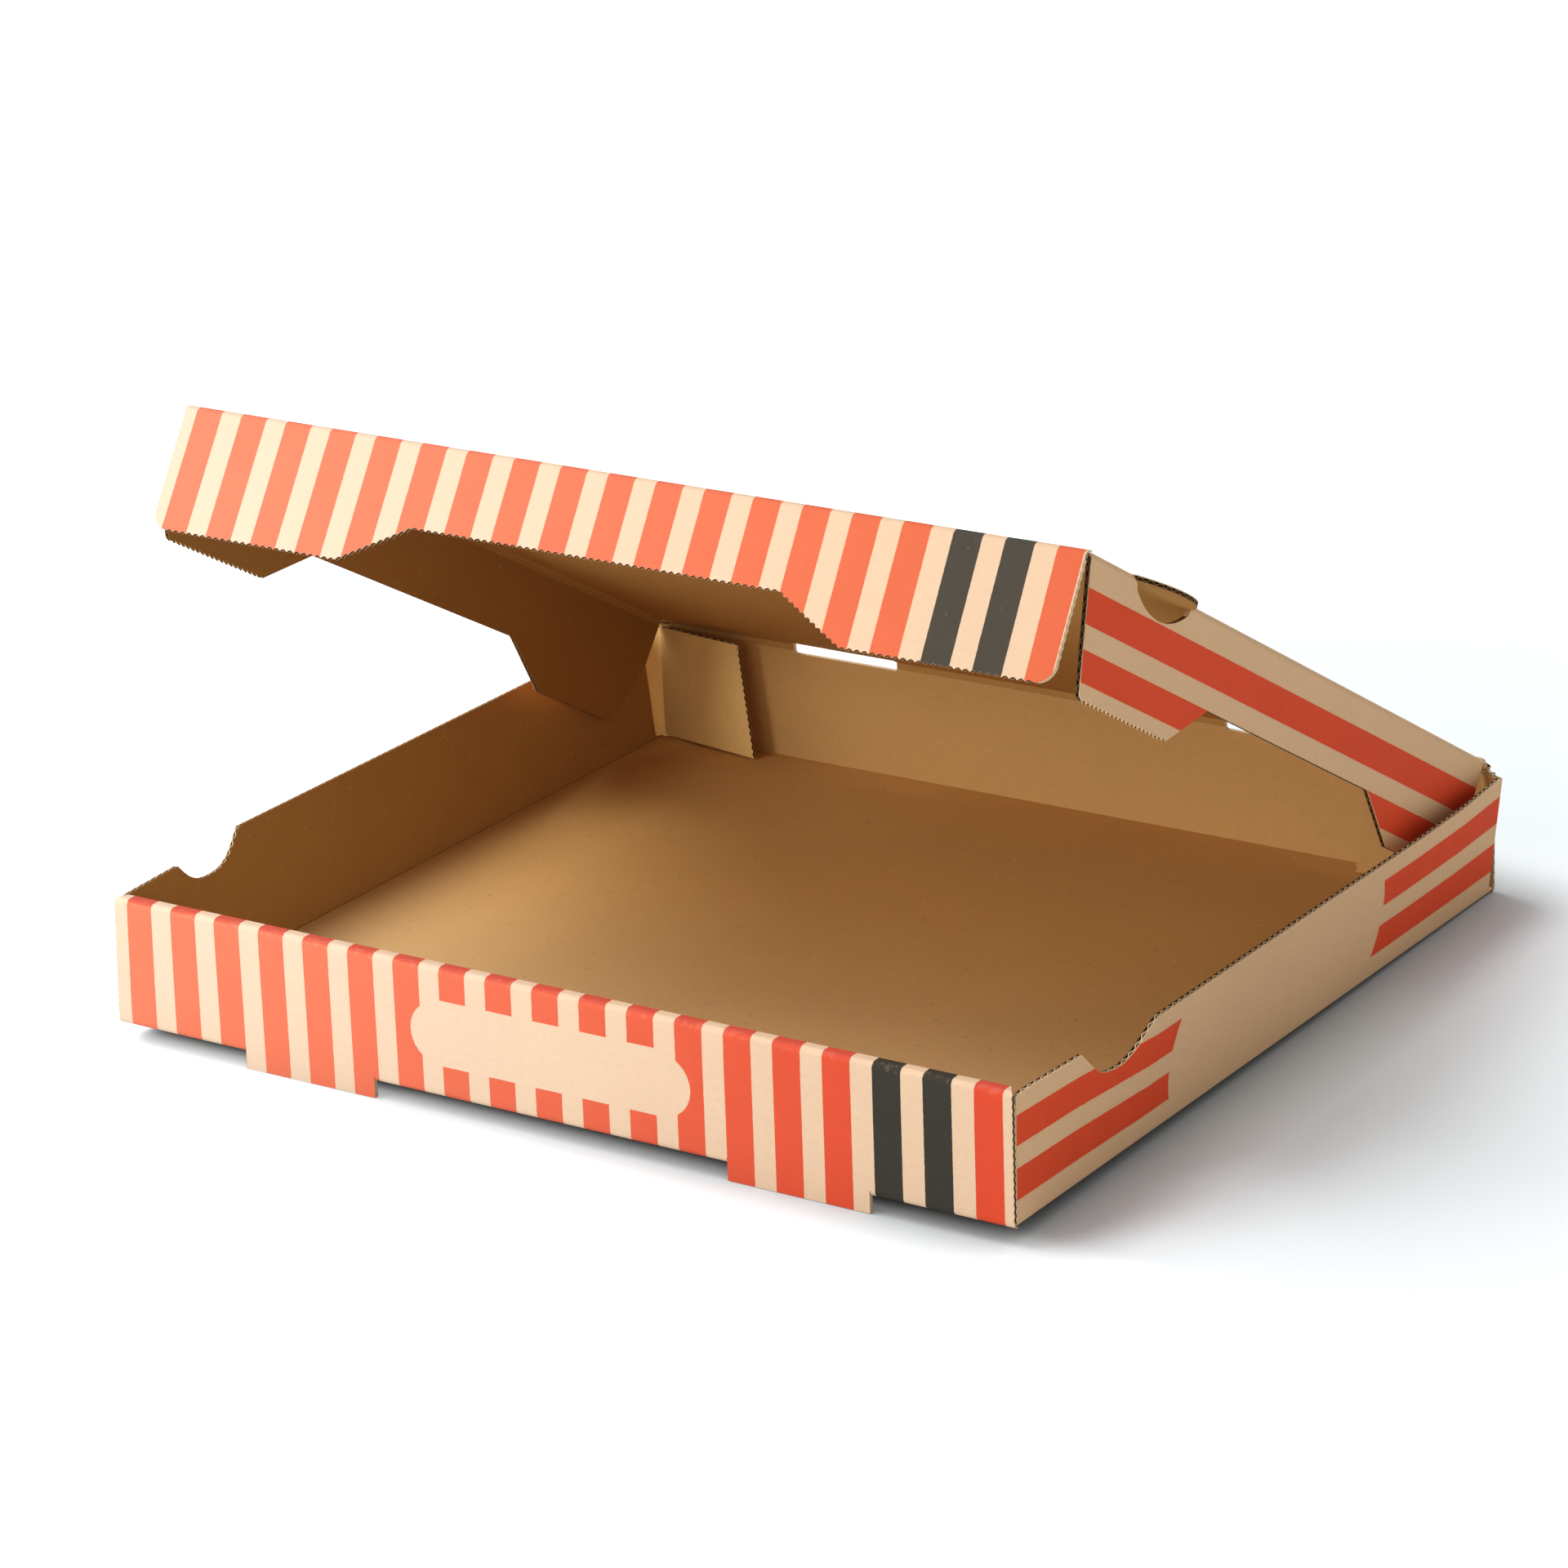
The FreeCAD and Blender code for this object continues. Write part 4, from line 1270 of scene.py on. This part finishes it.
FLAP_SHAPES = {
    1: {"foot": 40.2, "front_top": 293.0, "front_foot": 280.2, "rear_top": 4.8, "rear_mid": 6.0,
        "rear_slope": ((61.0, 0.0), (83.5, -0.6)), "front_slope": ((201.3, -0.6), (222.8, 0.0))},
    -1: {"foot": 41.8, "front_top": 294.5, "front_foot": 291.5, "rear_top": 4.8, "rear_mid": 7.0,
         "rear_slope": ((68.0, 0.0), (92.0, 0.6)), "front_slope": ((214.5, 1.6), (238.0, 0.0))},
}


def front_end(side):
    """The place of a side flap's front edge just below its crease."""
    shape = FLAP_SHAPES[side]
    share = (CREASE_FOOT - 0.8) / (shape["foot"] - 0.8)
    return shape["front_top"] + (shape["front_foot"] - shape["front_top"]) * share


def side_flap_corners(side):
    """A side flap: slanted ends, a shallow recess below and the half-moon's gap above."""
    shape = FLAP_SHAPES[side]
    foot = shape["foot"]
    (rear_low, _), (rear_high, rear_lift) = shape["rear_slope"]
    (front_high, front_lift), (front_low, _) = shape["front_slope"]
    corners = [(shape["rear_top"], CREASE_FOOT, "flute"), (shape["rear_mid"], 17.8, "flute")]
    corners += rounded((shape["rear_mid"], 17.8), (19.0, foot), (60.0, foot), 5.0, "flute")
    corners += [
        (rear_low, foot, "flute"),
        (rear_high, SIDE_RECESS + rear_lift, "flute"),
        (front_high, SIDE_RECESS + front_lift, "flute"),
        (front_low, foot, "wave"),
    ]
    front_top = (shape["front_top"], 0.8)
    corners += rounded((front_low, foot), (shape["front_foot"], foot), front_top, 3.5, "flute")
    corners += [(front_end(side), CREASE_FOOT, "fold")]
    steps = 16
    radius = MOON_RADIUS + MOON_CLEAR
    half = gap_half(CREASE_FOOT)
    bottom = CREASE_FOOT + radius - math.sqrt(radius ** 2 - half ** 2)
    for index in range(steps + 1):
        offset = half - 2 * half * index / steps
        depth = bottom - radius + math.sqrt(radius ** 2 - offset ** 2)
        corners.append((MOON_CENTRE + offset, depth, "flute" if index < steps else "fold"))
    return corners


side_flaps = {}
for side, name in ((-1, "left_flap"), (1, "right_flap")):
    side_flaps[side] = board_sheet(name, side_flap_corners(side), place_side_flap(side), side_flap_paper,
                                   step=(14.0, 8.0), inner=flap_paper, medium=4)


HINGE_TURN = 90.0 - math.degrees(LID_ANGLE)
HINGE_ROUND = 1.7
CORNER_REACH = (BOARD / 2) * math.tan(math.radians(HINGE_TURN) / 2)
TURN_REACH = HINGE_ROUND * math.tan(math.radians(HINGE_TURN) / 2)
hinge_path = fold_path((BACK, HINGE_WALL_TOP, 90.0), [
    ("run", HINGE_Z + CORNER_REACH - TURN_REACH - HINGE_WALL_TOP),
    ("turn", HINGE_ROUND, HINGE_TURN),
    ("run", LID_REAR + CORNER_REACH - TURN_REACH),
])
HINGE_CREASE = float(hinge_path[0][-1])


def place_hinge(along, across, depth):
    y, z = on_path(hinge_path, across, depth, 1)
    ragged = np.clip((np.abs(along) - 158.5) / 6.0, 0.0, 1.0)
    crumple = 0.7 * np.sin(along * 2.7 + across * 1.9) + 0.5 * np.sin(across * 3.4 - along * 1.3)
    sag = 0.6 * np.sin(across * 2.3 + along * 3.1) - 0.5
    return along, y + ragged * (crumple - 1.25), z + ragged * sag


def hinge_corners(low, high):
    """A hinge strip; an end at the box's side is ragged."""
    corners = [(low, 0.0, "fold"), (high, 0.0, "fold")]
    jags = ((0.9, 0.16), (-0.4, 0.3), (0.6, 0.44), (-0.9, 0.6), (0.2, 0.74), (-1.1, 0.88))
    if high > HALF_WIDTH - 2:
        corners += [(high + jag, HINGE_CREASE * share, "fold") for jag, share in jags]
    corners += [(high, HINGE_CREASE, "fold"), (low, HINGE_CREASE, "fold")]
    if low < 2 - HALF_WIDTH:
        corners += [(low - jag, HINGE_CREASE * share, "fold") for jag, share in reversed(jags)]
    return corners


for name, low, high in (("left_hinge_crease", -HALF_WIDTH + 1.2, -RELIEF_FAR),
                        ("middle_hinge_crease", -RELIEF_NEAR, RELIEF_NEAR),
                        ("right_hinge_crease", RELIEF_FAR, HALF_WIDTH - 1.6)):
    crease = board_sheet(name, hinge_corners(low, high), place_hinge, hinge_paper, step=(2.0, 1.5),
                         extra_across=path_splits(hinge_path))
    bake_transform(crease)


CREASE_ROUND = 2.4
front_crease_path = fold_path((LID_FRONT, BOARD / 2, 0.0), [
    ("run", LID_LENGTH + BOARD / 2 - CREASE_ROUND - LID_FRONT),
    ("turn", CREASE_ROUND, -90.0),
    ("run", CREASE_DROP - CREASE_ROUND + BOARD / 2),
])


def place_front_crease(along, across, depth):
    out, height = on_path(front_crease_path, across, depth, -1)
    return lid_frame(along, out, height)


FRONT_CREASE = float(front_crease_path[0][-1])
front_crease = board_sheet("front_crease", [
    (-LID_HALF, 0.0, "flute"),
    (-LID_HALF, FRONT_CREASE, "fold"),
    (LID_HALF, FRONT_CREASE, "flute"),
    (LID_HALF, 0.0, "fold"),
], place_front_crease, front_crease_paper, step=(12.0, 4.0), extra_across=path_splits(front_crease_path))
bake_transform(front_crease)


side_crease_path = fold_path((LID_SIDE, BOARD / 2, 0.0), [
    ("run", LID_HALF - CREASE_ROUND - LID_SIDE),
    ("turn", CREASE_ROUND, -90.0),
    ("run", CREASE_FOOT - CREASE_ROUND + BOARD / 2),
])
SIDE_CREASE = float(side_crease_path[0][-1])


def place_side_crease(side):
    def place(along, across, depth):
        out, height = on_path(side_crease_path, across, depth, -1)
        return lid_frame(side * out, along, height)
    return place


MOON_GAP_TOP = MOON_HALF + MOON_CLEAR
MOON_GAP_LOW = gap_half(CREASE_FOOT)
for side, name, body in ((-1, "left", "left_flap"), (1, "right", "right_flap")):
    rear = FLAP_SHAPES[side]["rear_top"]
    runs = (("rear", rear - 0.4, rear, MOON_CENTRE - MOON_GAP_TOP, MOON_CENTRE - MOON_GAP_LOW),
            ("front", MOON_CENTRE + MOON_GAP_TOP, MOON_CENTRE + MOON_GAP_LOW, LID_FRONT - 0.1,
             front_end(side)))
    for run, top_start, low_start, top_end, low_end in runs:
        crease = board_sheet("%s_%s_crease" % (name, run), [
            (top_start, 0.0, "fold"),
            (top_end, 0.0, "flute" if run == "front" else "fold"),
            (low_end, SIDE_CREASE, "fold"),
            (low_start, SIDE_CREASE, "fold"),
        ], place_side_crease(side), outside_paper, step=(14.0, 4.0),
                             extra_across=path_splits(side_crease_path), medium=4)
        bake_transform(crease)


TAB_RISE = 43.4
TAB_LOW = 2.4
TAB_BEND = 7.0
TAB_FOLD = (162.2, 151.2)
TAB_BULGE = 2.6
TAB_LOW_REACH = 50.0
TAB_TOP_REACH = 44.0
FRONT_TAB_REACH = 61.0
FRONT_TAB_TOP = 38.0


def place_rear_tab(side):
    """A tab that bends in from a side wall's rear end, bulging at mid height, off the back wall."""
    lean = LEANS[side][-1]
    start = 146.0 if side < 0 else 148.5
    behind = 0.0 if side < 0 else 0.9

    def place(along, across, depth):
        height = np.clip((across - TAB_LOW) / (TAB_RISE - TAB_LOW), 0.0, 1.0)
        share = np.clip(along / TAB_BEND, 0.0, 1.0)
        run = np.maximum(along - TAB_BEND, 0.0)
        wall_x = HALF_WIDTH - behind + lean * across / WALL_STRAIGHT
        round_x = (wall_x + TAB_FOLD[0]) / 2 + 0.6 + TAB_BULGE * np.sin(math.pi * height)
        round_y = (start + TAB_FOLD[1]) / 2 + 0.6
        x = (1 - share) ** 2 * wall_x + 2 * share * (1 - share) * round_x + share ** 2 * TAB_FOLD[0]
        y = (1 - share) ** 2 * start + 2 * share * (1 - share) * round_y + share ** 2 * TAB_FOLD[1]
        slope_x = 2 * (1 - share) * (round_x - wall_x) + 2 * share * (TAB_FOLD[0] - round_x)
        slope_y = 2 * (1 - share) * (round_y - start) + 2 * share * (TAB_FOLD[1] - round_y)
        length = np.hypot(slope_x, slope_y)
        swing = np.radians(4.0 + 5.0 * np.clip(run / 12.0, 0.0, 1.0))
        x = np.where(run > 0, TAB_FOLD[0] - run * np.cos(swing), x)
        y = np.where(run > 0, TAB_FOLD[1] - run * np.sin(swing), y)
        normal_x = np.where(run > 0, -np.sin(swing), -slope_y / length)
        normal_y = np.where(run > 0, -np.cos(swing), slope_x / length)
        return side * (x + depth * normal_x), y + depth * normal_y, UNDERSIDE + across
    return place


for side, name, inner in ((-1, "left_rear_tab", tab_paper), (1, "right_rear_tab", right_tab_paper)):
    tab = board_sheet(name, [
        (0.0, TAB_LOW, "fold"),
        (TAB_LOW_REACH, TAB_LOW, "wave"),
        (TAB_TOP_REACH, TAB_RISE, "flute"),
        (0.0, TAB_RISE - 0.7, "fold"),
    ], place_rear_tab(side), outside_paper, step=(4.0, 2.5), extra_along=ruled(0.0, 8.0, 0.7), inner=inner)
    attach(tab, "tray")


def place_front_tab(side):
    def place(along, across, depth):
        y = FRONT + BOARD + 0.4 + depth
        return side * (HALF_WIDTH - BOARD / 2 - along), y, UNDERSIDE + across
    return place


for side, name in ((-1, "left_front_tab"), (1, "right_front_tab")):
    tab = board_sheet(name, [
        (0.0, TAB_LOW, "fold"),
        (FRONT_TAB_REACH, TAB_LOW, "fold"),
        (FRONT_TAB_REACH, FRONT_TAB_TOP, "fold"),
        (0.0, FRONT_TAB_TOP, "fold"),
    ], place_front_tab(side), outside_paper, step=(20.0, 20.0))
    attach(tab, "tray")

for piece in (front_wall, floor, back_wall, walls[-1], walls[1]):
    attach(piece, "tray")
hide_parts("tray")
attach(lid, "lid")
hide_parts("lid")
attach(front_flap, "front_flap")
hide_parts("lid_front_flap")
for side, body in ((-1, "left_flap"), (1, "right_flap")):
    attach(side_flaps[side], body)
    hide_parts("lid_" + body)


def make_stage():
    """A pale floor that meets the feet and the rear edge of the box, white far away; painted shade darkens
    it next to the box, and painted light brightens it just in front of the box and beyond its left end.
    """
    mesh = bpy.data.meshes.new("studio_floor")
    reach = 9.0
    rise = FOOT_DROP / (BACK - FRONT)
    corners = []
    for x, y in ((-reach, -reach), (reach, -reach), (reach, reach), (-reach, reach)):
        corners.append((x, y, (y - FRONT * MM) * rise - 0.0002))
    mesh.from_pydata(corners, [], [(0, 1, 2, 3)])
    material, shader = new_material("studio_floor")
    tree = material.node_tree
    # Painted contact shade: ambient occlusion darkens the floor's colour and glow close to the box.
    shade = put(tree, "ShaderNodeAmbientOcclusion", None, Distance=CONTACT_SHADE_REACH)
    shade.samples = 6
    contact_shade = calc(tree, "POWER", shade.outputs["AO"], CONTACT_SHADE_DEPTH)
    tree.links.new(scaled(tree, FLOOR_COLOR, contact_shade), shader.inputs["Base Color"])
    shader.inputs["Roughness"].default_value = 0.9
    shader.inputs["Specular IOR Level"].default_value = 0.1
    place = own_place(tree)
    distance = put(tree, "ShaderNodeVectorMath", {"operation": "LENGTH"}, Vector=place).outputs["Value"]
    far = times(tree, ramp_up(tree, distance, 0.26, 1.20), FAR_GLOW)
    axes = axes_of(tree, place)
    # Painted light: the floor glows brighter just in front of the box and beyond its left end, less towards
    # the right, to thin the shade there.
    ahead = times(tree, axes["Y"], -1.0)
    rightwards = times(tree, ramp_up(tree, axes["X"], -0.15, 0.15), -0.75)
    near_front = times(tree, ramp_up(tree, ahead, *FRONT_PAINTED_LIGHT_EDGE), plus(tree, rightwards, 1.0))
    leftwards = times(tree, axes["X"], -1.0)
    near_left = ramp_up(tree, leftwards, *LEFT_PAINTED_LIGHT_EDGE)
    painted_open_light = times(tree, calc(tree, "MAXIMUM", near_front, near_left), FRONT_PAINTED_LIGHT)
    glow_strength = times(tree, plus(tree, far, FLOOR_GLOW), contact_shade)
    glow_strength = plus(tree, glow_strength, painted_open_light)
    seen = tree.nodes.new("ShaderNodeLightPath")
    glow = put(tree, "ShaderNodeEmission", None, Color=(1.0, 1.0, 1.0, 1.0))
    direct = calc(tree, "MAXIMUM", seen.outputs["Is Camera Ray"], seen.outputs["Is Glossy Ray"])
    tree.links.new(times(tree, direct, glow_strength), glow.inputs["Strength"])
    both = tree.nodes.new("ShaderNodeAddShader")
    tree.links.new(shader.outputs["BSDF"], both.inputs[0])
    tree.links.new(glow.outputs["Emission"], both.inputs[1])
    output = [node for node in tree.nodes if node.type == "OUTPUT_MATERIAL"][0]
    tree.links.new(both.outputs["Shader"], output.inputs["Surface"])
    mesh.materials.append(material)
    ground = add_object("studio_floor", mesh)
    ground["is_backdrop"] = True


def make_world():
    """Even light all round, and a white background."""
    world = bpy.data.worlds.new("studio")
    bpy.context.scene.world = world
    world.use_nodes = True
    tree = world.node_tree
    tree.nodes.clear()
    output = tree.nodes.new("ShaderNodeOutputWorld")
    background = tree.nodes.new("ShaderNodeBackground")
    seen = tree.nodes.new("ShaderNodeLightPath")
    direct = calc(tree, "MAXIMUM", seen.outputs["Is Camera Ray"], seen.outputs["Is Glossy Ray"])
    strength = calc(tree, "MULTIPLY_ADD", direct, 1.0 - WORLD_LIGHT, WORLD_LIGHT)
    tree.links.new(strength, background.inputs["Strength"])
    background.inputs["Color"].default_value = (1.0, 1.0, 1.0, 1.0)
    tree.links.new(background.outputs["Background"], output.inputs["Surface"])


def make_softbox(name, place, target, size, power, color):
    """A square soft light that faces a target."""
    lamp = bpy.data.lights.new(name, "AREA")
    lamp.shape = "SQUARE"
    lamp.size = size
    lamp.energy = power
    lamp.color = color
    holder = add_object(name, lamp)
    holder.location = Vector(place)
    holder.rotation_euler = (Vector(place) - Vector(target)).to_track_quat("Z", "Y").to_euler()


def make_sun(name, source, strength, spread, color):
    """A broad distant light that shines from a direction."""
    lamp = bpy.data.lights.new(name, "SUN")
    lamp.energy = strength * math.pi
    lamp.angle = math.radians(spread)
    lamp.color = color
    holder = add_object(name, lamp)
    holder.rotation_euler = Vector(source).to_track_quat("Z", "Y").to_euler()


def make_camera():
    """The camera at the photograph's place, with its slight tilt to one side."""
    azimuth, elevation, roll = 0.5861899, 0.3484013, -0.0345085
    distance = 1.78419
    target = Vector((0.046351, -0.088173, 0.101175))
    back = Vector((math.sin(azimuth) * math.cos(elevation),
                   -math.cos(azimuth) * math.cos(elevation),
                   math.sin(elevation)))
    level = (-back).cross(Vector((0.0, 0.0, 1.0))).normalized()
    upright = level.cross(-back)
    right = level * math.cos(roll) + upright * math.sin(roll)
    top = upright * math.cos(roll) - level * math.sin(roll)
    camera = bpy.data.cameras.new("camera")
    camera.sensor_width = 36.0
    camera.lens = 135.3223
    camera.clip_end = 50.0
    holder = add_object("camera", camera)
    matrix = Matrix((right, top, back)).transposed().to_4x4()
    matrix.translation = target + back * distance
    holder.matrix_world = matrix
    bpy.context.scene.camera = holder


make_camera()
make_stage()
make_world()
make_softbox("window_light", (-0.84, -1.27, 0.56), (0.0, -0.05, 0.06), 0.75, 16.2, (1.0, 0.985, 0.955))
make_sun("front_fill", (0.10, -0.96, 0.22), 0.05, 20.0, (1.0, 0.96, 0.90))
make_sun("top_light", (-0.55, -0.10, 0.83), 0.74, 42.0, (1.0, 0.99, 0.97))
make_sun("right_bounce", (0.95, -0.20, 0.12), 0.26, 60.0, (1.0, 0.95, 0.88))

bpy.context.scene.view_settings.view_transform = "Standard"
low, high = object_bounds()
